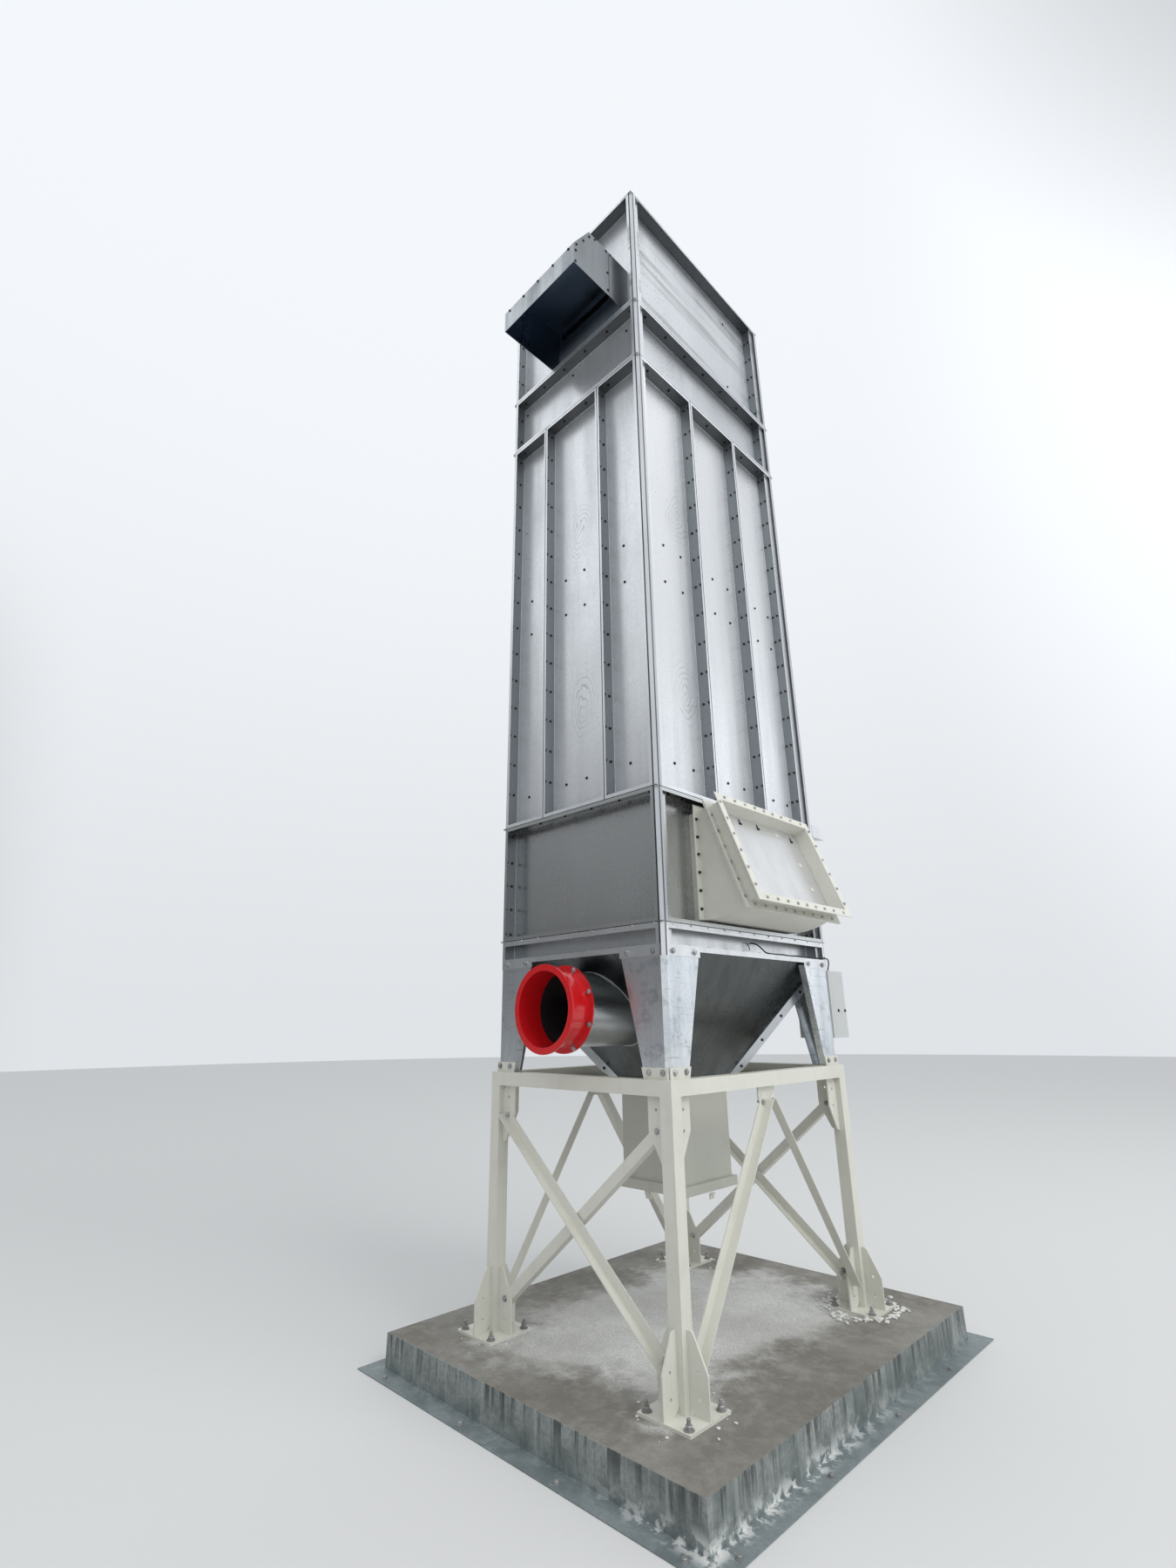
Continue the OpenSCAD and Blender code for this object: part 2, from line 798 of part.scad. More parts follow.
module post_piece(z0, z1) {
    translate([0, 0, z0])
        linear_extrude(z1 - z0)
            post_outline();
}

// Square corner of a section's end flange, which stands out past the chamfer.
module post_tip(z) {
    x = half_x;
    y = half_y;
    c = corner_cut;
    translate([0, 0, z])
        linear_extrude(sheet_t)
            polygon([
                [x - c + post_groove, -y],
                [x, -y],
                [x, -y + c],
                [x - sheet_t, -y + c],
                [x - c + post_groove, -y + post_groove + sheet_t]
            ]);
}

// The post of one corner, in one length for each section of the tower.
module corner_post(mirror_x, mirror_y) {
    color(galvanised)
        to_corner(mirror_x, mirror_y)
            for (ends = sections) {
                low = ends[0] + gasket_t;
                high = ends[1];
                post_piece(low, high);
                post_tip(low);
                post_tip(high - sheet_t);
            }
}

// Plan of the tower with chamfered corners, smaller by inset.
module tower_outline(inset) {
    x = half_x - inset;
    y = half_y - inset;
    c = corner_cut - inset * (2 - sqrt(2));
    polygon([
        [x - c, -y],
        [x, -y + c],
        [x, y - c],
        [x - c, y],
        [-x + c, y],
        [-x, y - c],
        [-x, -y + c],
        [-x + c, -y]
    ]);
}

// Sealing strips between the sections, set back a little from the lips.
module section_seals() {
    set_back = 3;
    color(seal_black)
        for (z = [z_plenum, z_filter, z_band, z_chamber])
            translate([0, 0, z])
                linear_extrude(gasket_t)
                    difference() {
                        tower_outline(set_back);
                        square([2 * (half_x - tray_d), 2 * (half_y - tray_d)], center = true);
                    }
}

// COLLAR

// Strip of the lower rail that hangs from the collar's flange, deeper at the corners.
module collar_rail(side) {
    half = side % 2 == 0 ? half_y : half_x;
    reach = side % 2 == 0 ? front_half : half_y - corner_cut;
    tab = bracket_top_w - corner_cut;
    top = z_collar + sheet_t;
    translate([-reach, -half, top - rail_lip])
        cube([2 * reach, sheet_t, rail_lip]);
    for (end = [0, 1])
        mirror([end, 0, 0])
            translate([reach - tab, -half, top - tab_h])
                cube([tab, sheet_t, tab_h]);
}

// The bolted ring between hopper and plenum: four shallow trays, the corner posts and the lower rail.
module collar() {
    color(galvanised)
        union() {
            for (side = [0 : 3])
                to_wall(side) {
                    if (side % 2 == 0)
                        tray(half_y, -front_half, front_half, z_collar, z_plenum,
                            corner_lip, corner_lip, 0, rail_lip);
                    else
                        tray(half_x, -side_half, side_half, z_collar, z_plenum,
                            0, 0, 0, rail_lip, side_wing, side_wing);
                    collar_rail(side);
                }
            for (mx = [0, 1], my = [0, 1])
                to_corner(mx, my)
                    collar_post();
        }
}

// Corner post of the collar. Only its chamfer strip runs on down past the flange, between the tabs.
module collar_post() {
    top = z_collar + sheet_t;
    t = sheet_t;
    c = corner_cut;
    post_piece(z_collar, z_plenum);
    post_tip(z_plenum - sheet_t);
    translate([0, 0, top - tab_h])
        linear_extrude(tab_h)
            polygon([
                [half_x - c, -half_y],
                [half_x, -half_y + c],
                [half_x - t, -half_y + c + t * (sqrt(2) - 1)],
                [half_x - c - t * (sqrt(2) - 1), -half_y + t]
            ]);
}

// TOWER SECTIONS

module plenum(side) {
    color(galvanised)
        difference() {
            to_wall(side)
                wall_tray(side, z_plenum + gasket_t, z_filter);
            if (side == 1)
                vent_port();
        }
}

module filter_panels(side) {
    color(galvanised)
        to_wall(side)
            ribbed_wall(side, z_filter + gasket_t, z_band);
}

module band(side) {
    color(galvanised)
        to_wall(side)
            wall_tray(side, z_band + gasket_t, z_chamber);
}

module chamber(side) {
    color(galvanised)
        to_wall(side)
            difference() {
                wall_tray(side, z_chamber + gasket_t, z_top);
                if (side == 0)
                    cowl_port();
            }
}

// Sheet that closes the top: a flat rim on the trays and a shallow hipped middle.
module roof() {
    rim = edge_lip + 10;
    base_x = half_x - rim;
    base_y = half_y - rim;
    ridge_x = base_x / 6;
    ridge_y = base_y / 2.5;
    lap = 2;
    sunk = 0.5;
    color(galvanised) {
        translate([0, 0, z_top])
            linear_extrude(sheet_t)
                difference() {
                    square([tower_x, tower_y], center = true);
                    square([2 * (base_x - lap / 2), 2 * (base_y - lap / 2)], center = true);
                }
        difference() {
            frustum(base_x, base_y, z_top + sunk, ridge_x, ridge_y, z_top + roof_rise + sheet_t);
            frustum(base_x - lap, base_y - lap, z_top - lap, ridge_x, ridge_y, z_top + roof_rise);
        }
    }
}

// EXHAUST COWL

z_cowl = z_chamber + gasket_t + cowl_up;

// Opening in the chamber's front sheet, behind the cowl.
module cowl_port() {
    edge = cowl_port_edge;
    translate([cowl_off - cowl_w / 2 + edge, -sheet_y - past, z_cowl + edge])
        cube([cowl_w - 2 * edge, sheet_t + 2 * past, cowl_h - 2 * edge]);
}

// Side view of the cowl: y runs outwards from the wall, z up from the lower edge.
module cowl_profile(inset) {
    slope = atan2(cowl_h - cowl_front_h, cowl_slope_run);
    shift = inset * tan((90 - slope) / 2);
    step = inset * tan(slope / 2);
    low = inset > 0 ? -past : 0;
    back = inset > 0 ? -past : 0;
    polygon([
        [back, low],
        [cowl_reach - inset, low],
        [cowl_reach - inset, cowl_front_h - shift],
        [cowl_reach - cowl_slope_run - step, cowl_h - inset],
        [back, cowl_h - inset]
    ]);
}

module exhaust_cowl() {
    color(galvanised)
        translate([cowl_off + cowl_w / 2, -sheet_y, z_cowl])
            rotate([90, 0, -90])
                difference() {
                    linear_extrude(cowl_w)
                        cowl_profile(0);
                    translate([0, 0, cowl_t])
                        linear_extrude(cowl_w - 2 * cowl_t)
                            cowl_profile(cowl_t);
                }
}

// DUST INLET

// Galvanised pipe through the hopper's front plate, cut along that plate's slope.
module inlet_stub() {
    slope = atan(hopper_slope_y);
    long = half_y + inlet_reach;
    color(galvanised)
        difference() {
            translate([0, inlet_joint_y, z_inlet])
                rotate([-90, 0, 0])
                    difference() {
                        union() {
                            cylinder(d = inlet_d, h = long);
                            cylinder(d = spool_flange_d, h = stub_flange_t);
                        }
                        translate([0, 0, -past])
                            cylinder(d = inlet_d - 2 * inlet_t, h = long + 2 * past);
                        duct_bolt_holes(stub_flange_t);
                    }
            translate([0, -chute_half, z_outlet])
                rotate([slope, 0, 0])
                    translate([-inlet_d, 0, -hopper_h])
                        cube([2 * inlet_d, 2 * half_y, 4 * hopper_h]);
        }
}

// Bolt holes of the duct's flanges, along +Z through a flange of the given thickness.
module duct_bolt_holes(thick) {
    for (i = [0 : spool_holes - 1])
        rotate([0, 0, (i + 0.5) * 360 / spool_holes])
            translate([spool_bolt_circle / 2, 0, -past])
                cylinder(d = spool_hole_d, h = thick + 2 * past, $fn = 24);
}

// Short spool in front of the stub, with a bolt flange at both ends.
module inlet_spool() {
    r = inlet_d / 2;
    bore = r - inlet_t;
    rim = spool_flange_d / 2;
    f = spool_flange_t;
    color(red_gloss)
        translate([0, inlet_joint_y, z_inlet])
            rotate([90, 0, 0])
                difference() {
                    rotate_extrude($fn = 96)
                        polygon([
                            [bore, 0],
                            [rim, 0],
                            [rim, f],
                            [r, f],
                            [r, spool_l - f],
                            [rim, spool_l - f],
                            [rim, spool_l],
                            [bore, spool_l]
                        ]);
                    duct_bolt_holes(spool_l);
                }
}

// EXPLOSION VENT

// Places the drawing in the plane of the vent's inner frame: x out of the frame, z up along its slope,
// with the origin in the middle of the frame's upper edge.
module on_vent_plane() {
    translate([vent_plane_x, vent_off, vent_plane_z])
        rotate([0, -vent_tilt, 0])
            children();
}

// A flange of the vent, from x0 outwards.
module vent_flange_ring(x0, t) {
    translate([x0, 0, 0])
        difference() {
            translate([0, -vent_l / 2, -vent_s])
                cube([t, vent_l, vent_s]);
            translate([-past, -vent_l / 2 + vent_flange + vent_t, -vent_s + vent_flange + vent_t])
                cube([
                    t + 2 * past,
                    vent_l - 2 * (vent_flange + vent_t),
                    vent_s - 2 * (vent_flange + vent_t)
                ]);
        }
}

// Opening in the plenum's right hand sheet, inside the vent's duct.
module vent_port() {
    edge = 30;
    half = vent_body_half - edge;
    translate([sheet_x - sheet_t - past, vent_off - half, z_vent_foot + edge])
        cube([sheet_t + 2 * past, 2 * half, z_vent_head - z_vent_foot - 2 * edge]);
}

// Side view of the duct between the plenum's sheet and the inner frame, smaller by inset.
module vent_profile(inset) {
    slope_x = sin(vent_tilt);
    slope_z = cos(vent_tilt);
    wall = inset > 0 ? sheet_x - past : sheet_x;
    reach = inset > 0 ? past : 0;
    head_x = vent_plane_x + slope_x * vent_flange + reach * slope_z;
    head_z = vent_plane_z - slope_z * vent_flange + reach * slope_x - inset;
    lip_x = vent_plane_x + slope_x * (vent_s - vent_flange) + reach * slope_z;
    lip_z = vent_plane_z - slope_z * (vent_s - vent_flange) + reach * slope_x + inset;
    foot_x = sheet_x + vent_neck + vent_belly_start;
    foot_z = z_vent_foot + inset;
    run = lip_x - foot_x;
    rise = lip_z - foot_z;
    radius = (run * run + rise * rise) / (2 * rise);
    sweep = asin(run / radius);
    steps = 10;
    belly = [
        for (i = [0 : steps])
            [foot_x + radius * sin(sweep * i / steps), foot_z + radius * (1 - cos(sweep * i / steps))]
    ];
    polygon(concat(
        [[wall, z_vent_head - inset], [wall, foot_z]],
        belly,
        [[head_x, head_z]]
    ));
}

// Cream duct with side plates, curved belly, wall flange and the flange that carries the panel.
module vent_duct() {
    wide = 2 * vent_body_half;
    flange_x = sheet_x + vent_neck;
    color(cream) {
        difference() {
            union() {
                translate([0, vent_off + vent_body_half, 0])
                    rotate([90, 0, 0])
                        linear_extrude(wide)
                            vent_profile(0);
                translate([flange_x, vent_off - vent_body_half - vent_flange, z_vent_foot])
                    cube([vent_flange_t, wide + 2 * vent_flange, z_vent_head + vent_flange - z_vent_foot]);
            }
            translate([0, vent_off + vent_body_half - vent_t, 0])
                rotate([90, 0, 0])
                    linear_extrude(wide - 2 * vent_t)
                        vent_profile(vent_t);
            on_vent_plane()
                translate([-vent_flange_t, -vent_l, -2 * vent_s])
                    cube([vent_s, 2 * vent_l, 3 * vent_s]);
        }
        on_vent_plane()
            vent_flange_ring(-vent_flange_t, vent_flange_t);
    }
}

// Thin bursting panel, clamped between the two flanges.
module vent_panel() {
    color(galvanised)
        on_vent_plane()
            translate([0, -vent_l / 2, -vent_s])
                cube([vent_panel_t, vent_l, vent_s]);
}

// Frame in front of the panel: two flanges joined by a rectangular skirt.
module vent_frame() {
    first = vent_panel_t;
    skirt = vent_s - 2 * vent_flange;
    color(cream)
        on_vent_plane() {
            vent_flange_ring(first, vent_flange_t);
            vent_flange_ring(first + vent_frame_d - vent_flange_t, vent_flange_t);
            difference() {
                translate([first, -vent_body_half, -vent_s + vent_flange])
                    cube([vent_frame_d, 2 * vent_body_half, skirt]);
                translate([first - past, -vent_body_half + vent_t, -vent_s + vent_flange + vent_t])
                    cube([vent_frame_d + 2 * past, 2 * (vent_body_half - vent_t), skirt - 2 * vent_t]);
            }
        }
}

// CONTROL BOX

// Closed sheet housing, bolted to the back of the right hand bracket.
module control_box() {
    color(box_grey)
        translate([half_x - sheet_t - box_w, half_y - sheet_t, z_box - box_h])
            difference() {
                cube([box_w, box_d, box_h]);
                translate([box_t, box_t, box_t])
                    cube([box_w - 2 * box_t, box_d - 2 * box_t, box_h - 2 * box_t]);
            }
}

// SENSOR CABLE

// Unit vector along v.
function unit(v) = v / norm(v);

// Direction of the route at point i.
function heading(route, i) = unit(route[min(i + 1, len(route) - 1)] - route[max(i - 1, 0)]);

// A round tube along the route. Its rings stand square to the route and keep one side near the top.
module tube(route, r, sides) {
    count = len(route);
    rings = [
        for (i = [0 : count - 1])
            let (
                along = heading(route, i),
                side = unit(cross(along, [0.13, 0.11, 1])),
                up = cross(side, along)
            )
            for (k = [0 : sides - 1])
                route[i] + r * (cos(k * 360 / sides) * side + sin(k * 360 / sides) * up)
    ];
    skin = [
        for (i = [0 : count - 2], k = [0 : sides - 1])
            let (
                a = i * sides + k,
                b = i * sides + (k + 1) % sides
            )
            each [[a, b + sides, b], [a, a + sides, b + sides]]
    ];
    first = [for (k = [0 : sides - 1]) k];
    last = [for (k = [sides - 1 : -1 : 0]) (count - 1) * sides + k];
    polyhedron(points = rings, faces = concat(skin, [first], [last]));
}

module sensor_cable() {
    color(seal_black)
        tube(cable_path, cable_r, 10);
}

plinth();
edge_form(0);  // edge_form_front
edge_form(1);  // edge_form_right
edge_form(2);  // edge_form_back
edge_form(3);  // edge_form_left
leg(0, 0);  // leg_front_right
leg(0, 1);  // leg_back_right
leg(1, 1);  // leg_back_left
leg(1, 0);  // leg_front_left
ring_beam();
cross_brace(0, true);  // brace_front_rising
cross_brace(0, false);  // brace_front_falling
cross_brace(2, true);  // brace_back_rising
cross_brace(2, false);  // brace_back_falling
apex_brace(1, true);  // brace_right_front
apex_brace(1, false);  // brace_right_back
apex_brace(3, false);  // brace_left_front
apex_brace(3, true);  // brace_left_back
chute();
hopper();
bracket(0, 0);  // bracket_front_right
bracket(0, 1);  // bracket_back_right
bracket(1, 1);  // bracket_back_left
bracket(1, 0);  // bracket_front_left
collar();
plenum(0);  // plenum_front
plenum(1);  // plenum_right
plenum(2);  // plenum_back
plenum(3);  // plenum_left
filter_panels(0);  // filter_panels_front
filter_panels(1);  // filter_panels_right
filter_panels(2);  // filter_panels_back
filter_panels(3);  // filter_panels_left
band(0);  // band_front
band(1);  // band_right
band(2);  // band_back
band(3);  // band_left
chamber(0);  // chamber_front
chamber(1);  // chamber_right
chamber(2);  // chamber_back
chamber(3);  // chamber_left
corner_post(0, 0);  // corner_post_front_right
corner_post(0, 1);  // corner_post_back_right
corner_post(1, 1);  // corner_post_back_left
corner_post(1, 0);  // corner_post_front_left
section_seals();
roof();
exhaust_cowl();
inlet_stub();
inlet_spool();
vent_duct();
vent_panel();
vent_frame();
control_box();
sensor_cable();
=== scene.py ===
# %% [markdown]
# # A bag filter tower, dressed for its picture
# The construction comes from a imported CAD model, and this lesson adds what a camera sees on it: the
# finish of every sheet, the bolts and screws that hold it together, and the marks of making and weather.
# Everything is in metres. The origin is in the middle of the plinth, on the ground, and +Z is up.

import json
import math
import random

import bmesh
import bpy
from mathutils import Matrix, Vector


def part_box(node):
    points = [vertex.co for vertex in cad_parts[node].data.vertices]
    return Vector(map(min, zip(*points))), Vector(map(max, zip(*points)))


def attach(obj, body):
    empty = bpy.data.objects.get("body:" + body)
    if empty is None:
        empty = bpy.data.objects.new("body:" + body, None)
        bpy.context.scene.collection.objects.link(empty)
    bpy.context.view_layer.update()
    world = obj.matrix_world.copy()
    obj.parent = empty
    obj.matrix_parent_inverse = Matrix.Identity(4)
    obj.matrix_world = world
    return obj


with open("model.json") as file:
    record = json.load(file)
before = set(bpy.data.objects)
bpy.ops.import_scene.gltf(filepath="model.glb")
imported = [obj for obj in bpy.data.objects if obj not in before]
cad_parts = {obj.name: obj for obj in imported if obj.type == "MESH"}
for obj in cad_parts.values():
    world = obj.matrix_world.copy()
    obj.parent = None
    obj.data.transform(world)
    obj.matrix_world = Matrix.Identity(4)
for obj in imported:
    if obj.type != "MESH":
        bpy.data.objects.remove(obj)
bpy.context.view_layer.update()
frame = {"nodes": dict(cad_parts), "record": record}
nodes = frame["nodes"]

# %% [markdown]
# ## The camera
# The picture was taken with a very wide lens, held at eye level near one corner and tilted up. The place
# and the turns below were solved from the straight edges of the frame and the tower. A wide lens
# stretches what lies near the picture's edges, so the focal length matters as much as the place.

# %% Camera
EYE = Vector((2.874, -3.587, 1.646))
YAW = math.radians(44.702)
PITCH = math.radians(18.4718)
ROLL = math.radians(-0.6976)
FOCAL_PIXELS = 830.3748
PICTURE_PIXELS = 1800
SENSOR = 36
LENS = FOCAL_PIXELS / PICTURE_PIXELS * SENSOR


def camera_axes(yaw, pitch, roll):
    """The camera's right, up and backward directions."""
    forward = Vector((-math.sin(yaw) * math.cos(pitch), math.cos(yaw) * math.cos(pitch), math.sin(pitch)))
    level = Vector((math.cos(yaw), math.sin(yaw), 0))
    upright = level.cross(forward)
    right = math.cos(roll) * level + math.sin(roll) * upright
    up = -math.sin(roll) * level + math.cos(roll) * upright
    return right, up, -forward


lens = bpy.data.cameras.new("picture_lens")
lens.lens = LENS
lens.sensor_width = SENSOR
lens.clip_end = 200
camera = bpy.data.objects.new("picture_camera", lens)
turns = Matrix(camera_axes(YAW, PITCH, ROLL)).transposed().to_4x4()
camera.matrix_world = Matrix.Translation(EYE) @ turns
bpy.context.scene.collection.objects.link(camera)
bpy.context.scene.camera = camera
print("lens:", round(LENS, 2), "mm")

# %% [markdown]
# ## Formulas made of nodes
# A mask such as "the outer face of a post, near its bend" is a formula, and written node by node it is
# hard to read. A small class lets a node's output stand in sums, products and comparisons, and each
# operation adds one Math node to the tree. The world and all materials below are built with it.

# %% Helpers for node trees
class Field:
    """A node's output that can stand in a formula: a number that changes over a surface."""

    def __init__(self, tree, socket):
        self.tree = tree
        self.socket = socket

    def maths(self, operation, first, second=0.0):
        node = add(self.tree, "ShaderNodeMath", {0: first, 1: second}, operation=operation)
        return Field(self.tree, node.outputs[0])

    def __add__(self, other):
        return self.maths("ADD", self, other)

    def __sub__(self, other):
        return self.maths("SUBTRACT", self, other)

    def __rsub__(self, other):
        return self.maths("SUBTRACT", other, self)

    def __mul__(self, other):
        return self.maths("MULTIPLY", self, other)

    def __truediv__(self, other):
        return self.maths("DIVIDE", self, other)

    def __lt__(self, other):
        return self.maths("LESS_THAN", self, other)

    def __gt__(self, other):
        return self.maths("GREATER_THAN", self, other)

    def __abs__(self):
        return self.maths("ABSOLUTE", self)


def fill(tree, node, values):
    """Fills a node's inputs with values, or links them to fields and sockets."""
    for name, value in values.items():
        if isinstance(value, Field):
            value = value.socket
        if isinstance(value, bpy.types.NodeSocket):
            tree.links.new(value, node.inputs[name])
        else:
            node.inputs[name].default_value = value


def add(tree, kind, values=None, **settings):
    """Adds a node, sets its properties and fills its inputs."""
    node = tree.nodes.new(kind)
    for name, value in settings.items():
        setattr(node, name, value)
    fill(tree, node, values or {})
    return node


def either(first, second):
    """The larger of a field and another value, which for masks means one or the other."""
    return first.maths("MAXIMUM", first, second)


def between(value, low, high, out_low=0.0, out_high=1.0):
    """A smooth step of a field from low to high."""
    ends = {"From Min": low, "From Max": high, "To Min": out_low, "To Max": out_high}
    node = add(value.tree, "ShaderNodeMapRange", {"Value": value, **ends}, interpolation_type="SMOOTHSTEP")
    return Field(value.tree, node.outputs["Result"])


def ranged(value, low, high):
    """A field of 0 to 1 spread evenly from low to high."""
    ends = {"To Min": low, "To Max": high}
    return add(value.tree, "ShaderNodeMapRange", {"Value": value, **ends}).outputs["Result"]


def laid(tree, colour, amount, over):
    """A colour with another laid over it by an amount."""
    under, over = (c if isinstance(c, bpy.types.NodeSocket) else (*c, 1) for c in (colour, over))
    return add(tree, "ShaderNodeMix", {0: amount, 6: under, 7: over}, data_type="RGBA").outputs[2]


def vector_maths(tree, operation, first, second, output="Vector"):
    """A calculation with two places or directions."""
    return add(tree, "ShaderNodeVectorMath", {0: first, 1: second}, operation=operation).outputs[output]


def bump(tree, **values):
    """A surface direction bent by a height."""
    return add(tree, "ShaderNodeBump", values).outputs[0]


# %% [markdown]
# ## Light, floor and background
# Bright metal shows what is around it, so a studio for sheet steel is mostly about large soft surfaces.
# The world is a pale dome, lighter overhead. One round part of it, low down to the left behind the
# camera, is dark: the front wall mirrors that part, which gives its lower sheets their grey. Other parts
# are a little brighter or duller, where the sheets mirror a cloudy sky. Two wide lamps light the object,
# weak enough that nothing clips.

# %% World and lamps
DARK_SIDE = Vector((-0.66, -0.74, 0.05))
LIGHT_SIDE = Vector((0.62, 0.70, 0.35))
BRIGHT_SIDE = Vector((-0.60, -0.56, 0.57))
CLOUD_SIDE = Vector((0.50, 0.42, 0.76))


def dome_patch(tree, place, middle, rim, core, outside, inside):
    """A soft round part of the dome, with one value outside its rim and another in its core."""
    towards = Field(tree, vector_maths(tree, "DOT_PRODUCT", place, middle, "Value"))
    return between(towards, rim, core, outside, inside)


def make_world():
    """A pale dome, lighter overhead, with its dark, light, bright and cloudy parts."""
    world = bpy.data.worlds.new("pale_dome")
    world.use_nodes = True
    tree = world.node_tree
    tree.nodes.clear()
    place = add(tree, "ShaderNodeTexCoord").outputs["Generated"]
    height = Field(tree, add(tree, "ShaderNodeSeparateXYZ", {0: place}).outputs["Z"])
    dark = dome_patch(tree, place, DARK_SIDE, 0.52, 0.88, 0.0, 1.0) * between(height, 0.54, 0.36)
    light = dome_patch(tree, place, LIGHT_SIDE, 0.55, 0.95, 0.0, 0.28)
    bright = dome_patch(tree, place, BRIGHT_SIDE, 0.86, 0.98, 0.0, 0.26)
    cloud = dome_patch(tree, place, CLOUD_SIDE, 0.80, 0.97, 1.0, 0.45)
    strength = (between(height, -0.05, 0.8, 0.80, 0.97) * (1.0 - dark * 0.86) + light + bright) * cloud
    dome = add(tree, "ShaderNodeBackground", {"Color": (0.93, 0.965, 1.0, 1.0), "Strength": strength})
    add(tree, "ShaderNodeOutputWorld", {"Surface": dome.outputs[0]})
    bpy.context.scene.world = world


def soft_lamp(name, place, aim, width, height, power):
    """A wide area lamp that faces the point aim."""
    lamp = bpy.data.lights.new(name, "AREA")
    lamp.shape = "RECTANGLE"
    lamp.size = width
    lamp.size_y = height
    lamp.energy = power
    item = bpy.data.objects.new(name, lamp)
    turn = (Vector(aim) - Vector(place)).to_track_quat("-Z", "Y").to_matrix().to_4x4()
    item.matrix_world = Matrix.Translation(Vector(place)) @ turn
    bpy.context.scene.collection.objects.link(item)


make_world()
soft_lamp("cloud_right", (10, 0.5, 12), (0, 0, 3.5), 9, 9, 1000)
soft_lamp("cloud_front", (2, -12, 9), (0, 0, 3.0), 9, 7, 60)
bpy.context.scene.view_settings.view_transform = "Standard"

# %% Floor
FLOOR_RADIUS = 40
FLOOR_DROP = 0.002


def make_floor():
    """A plain pale disc just under the plinth."""
    mesh = bpy.data.meshes.new("floor")
    build = bmesh.new()
    bmesh.ops.create_circle(build, cap_ends=True, radius=FLOOR_RADIUS, segments=96)
    build.to_mesh(mesh)
    build.free()
    floor = bpy.data.objects.new("floor", mesh)
    floor.location.z = -FLOOR_DROP
    bpy.context.scene.collection.objects.link(floor)
    paint = bpy.data.materials.new("floor_pale")
    paint.use_nodes = True
    shader = paint.node_tree.nodes["Principled BSDF"]
    fill(paint.node_tree, shader, {"Base Color": (0.64, 0.64, 0.63, 1), "Roughness": 0.9})
    mesh.materials.append(paint)


make_floor()
print("floor:", FLOOR_RADIUS, "m round the plinth")

# %% [markdown]
# ## Shared surface effects
# Galvanised sheet, paint and concrete share a few effects: crystals in the zinc, streaks that run down,
# blotches of dust, the slow waves of thin sheet. Each effect is a shader node group with its own scale,
# built once and placed in several materials. The groups read the object's own coordinates, which are the
# model's metres.

# %% Noise helpers
def start_group(name, **inputs):
    """A new shader group with number inputs; returns its tree and the inputs' sockets inside it."""
    tree = bpy.data.node_groups.new(name, "ShaderNodeTree")
    for label, value in inputs.items():
        socket = tree.interface.new_socket(label, in_out="INPUT", socket_type="NodeSocketFloat")
        socket.default_value = value
    return tree, add(tree, "NodeGroupInput").outputs


def end_group(tree, label, value):
    """Gives a group its one output."""
    tree.interface.new_socket(label, in_out="OUTPUT", socket_type="NodeSocketFloat")
    add(tree, "NodeGroupOutput", {label: value})
    return tree


def split(tree, output):
    """The object's own place or the direction of its face, as fields for X, Y and Z."""
    place = add(tree, "ShaderNodeTexCoord").outputs[output]
    parts = add(tree, "ShaderNodeSeparateXYZ", {0: place}).outputs
    return [Field(tree, parts[axis]) for axis in "XYZ"]


def stretched(tree, x=1, y=1, z=1):
    """Object coordinates multiplied along each axis."""
    place = add(tree, "ShaderNodeTexCoord").outputs["Object"]
    return vector_maths(tree, "MULTIPLY", place, (x, y, z))


def warped(tree, place, scale, detail, amount):
    """A place pushed about by noise."""
    noise = add(tree, "ShaderNodeTexNoise", {"Vector": place, "Scale": scale, "Detail": detail})
    push = vector_maths(tree, "MULTIPLY", noise.outputs["Color"], (amount, amount, amount))
    return vector_maths(tree, "ADD", place, push)


def noise_at(tree, place, scale, detail, roughness=0.5):
    """Noise of one scale, as a field."""
    values = {"Vector": place, "Scale": scale, "Detail": detail, "Roughness": roughness}
    return Field(tree, add(tree, "ShaderNodeTexNoise", values).outputs["Fac"])


# %% Effects of noise
def zinc_crystals():
    """Spangle: each zinc crystal has its own slight tone, over a finer mottle."""
    tree, given = start_group("zinc_crystals", Scale=70.0)
    place = stretched(tree)
    bent = warped(tree, place, 30.0, 2.0, 0.02)
    cells = add(tree, "ShaderNodeTexVoronoi", {"Vector": bent, "Scale": given["Scale"]})
    crystal = Field(tree, add(tree, "ShaderNodeSeparateColor", {0: cells.outputs["Color"]}).outputs[0])
    mottle = between(noise_at(tree, place, given["Scale"], 2.0), 0.36, 0.64)
    return end_group(tree, "Tone", crystal * 0.3 + mottle * 0.7)


def downward_streaks():
    """Streaks that run down a wall: noise squeezed across and stretched along Z."""
    tree, given = start_group("downward_streaks", Fineness=22.0, Low=0.45, High=0.75)
    streak = noise_at(tree, stretched(tree, z=0.06), given["Fineness"], 5.0, 0.6)
    return end_group(tree, "Mask", between(streak, given["Low"], given["High"]))


def cloudy_blotches():
    """Soft uneven patches, for handling marks, dust and stains."""
    tree, given = start_group("cloudy_blotches", Scale=2.0, Low=0.4, High=0.7, Detail=6.0)
    cloud = noise_at(tree, stretched(tree), given["Scale"], given["Detail"], 0.62)
    return end_group(tree, "Mask", between(cloud, given["Low"], given["High"]))


def sheet_ripple():
    """Long shallow waves of thin sheet, as a height."""
    tree, given = start_group("sheet_ripple", Scale=1.6)
    return end_group(tree, "Height", noise_at(tree, stretched(tree, z=0.45), given["Scale"], 1.0))


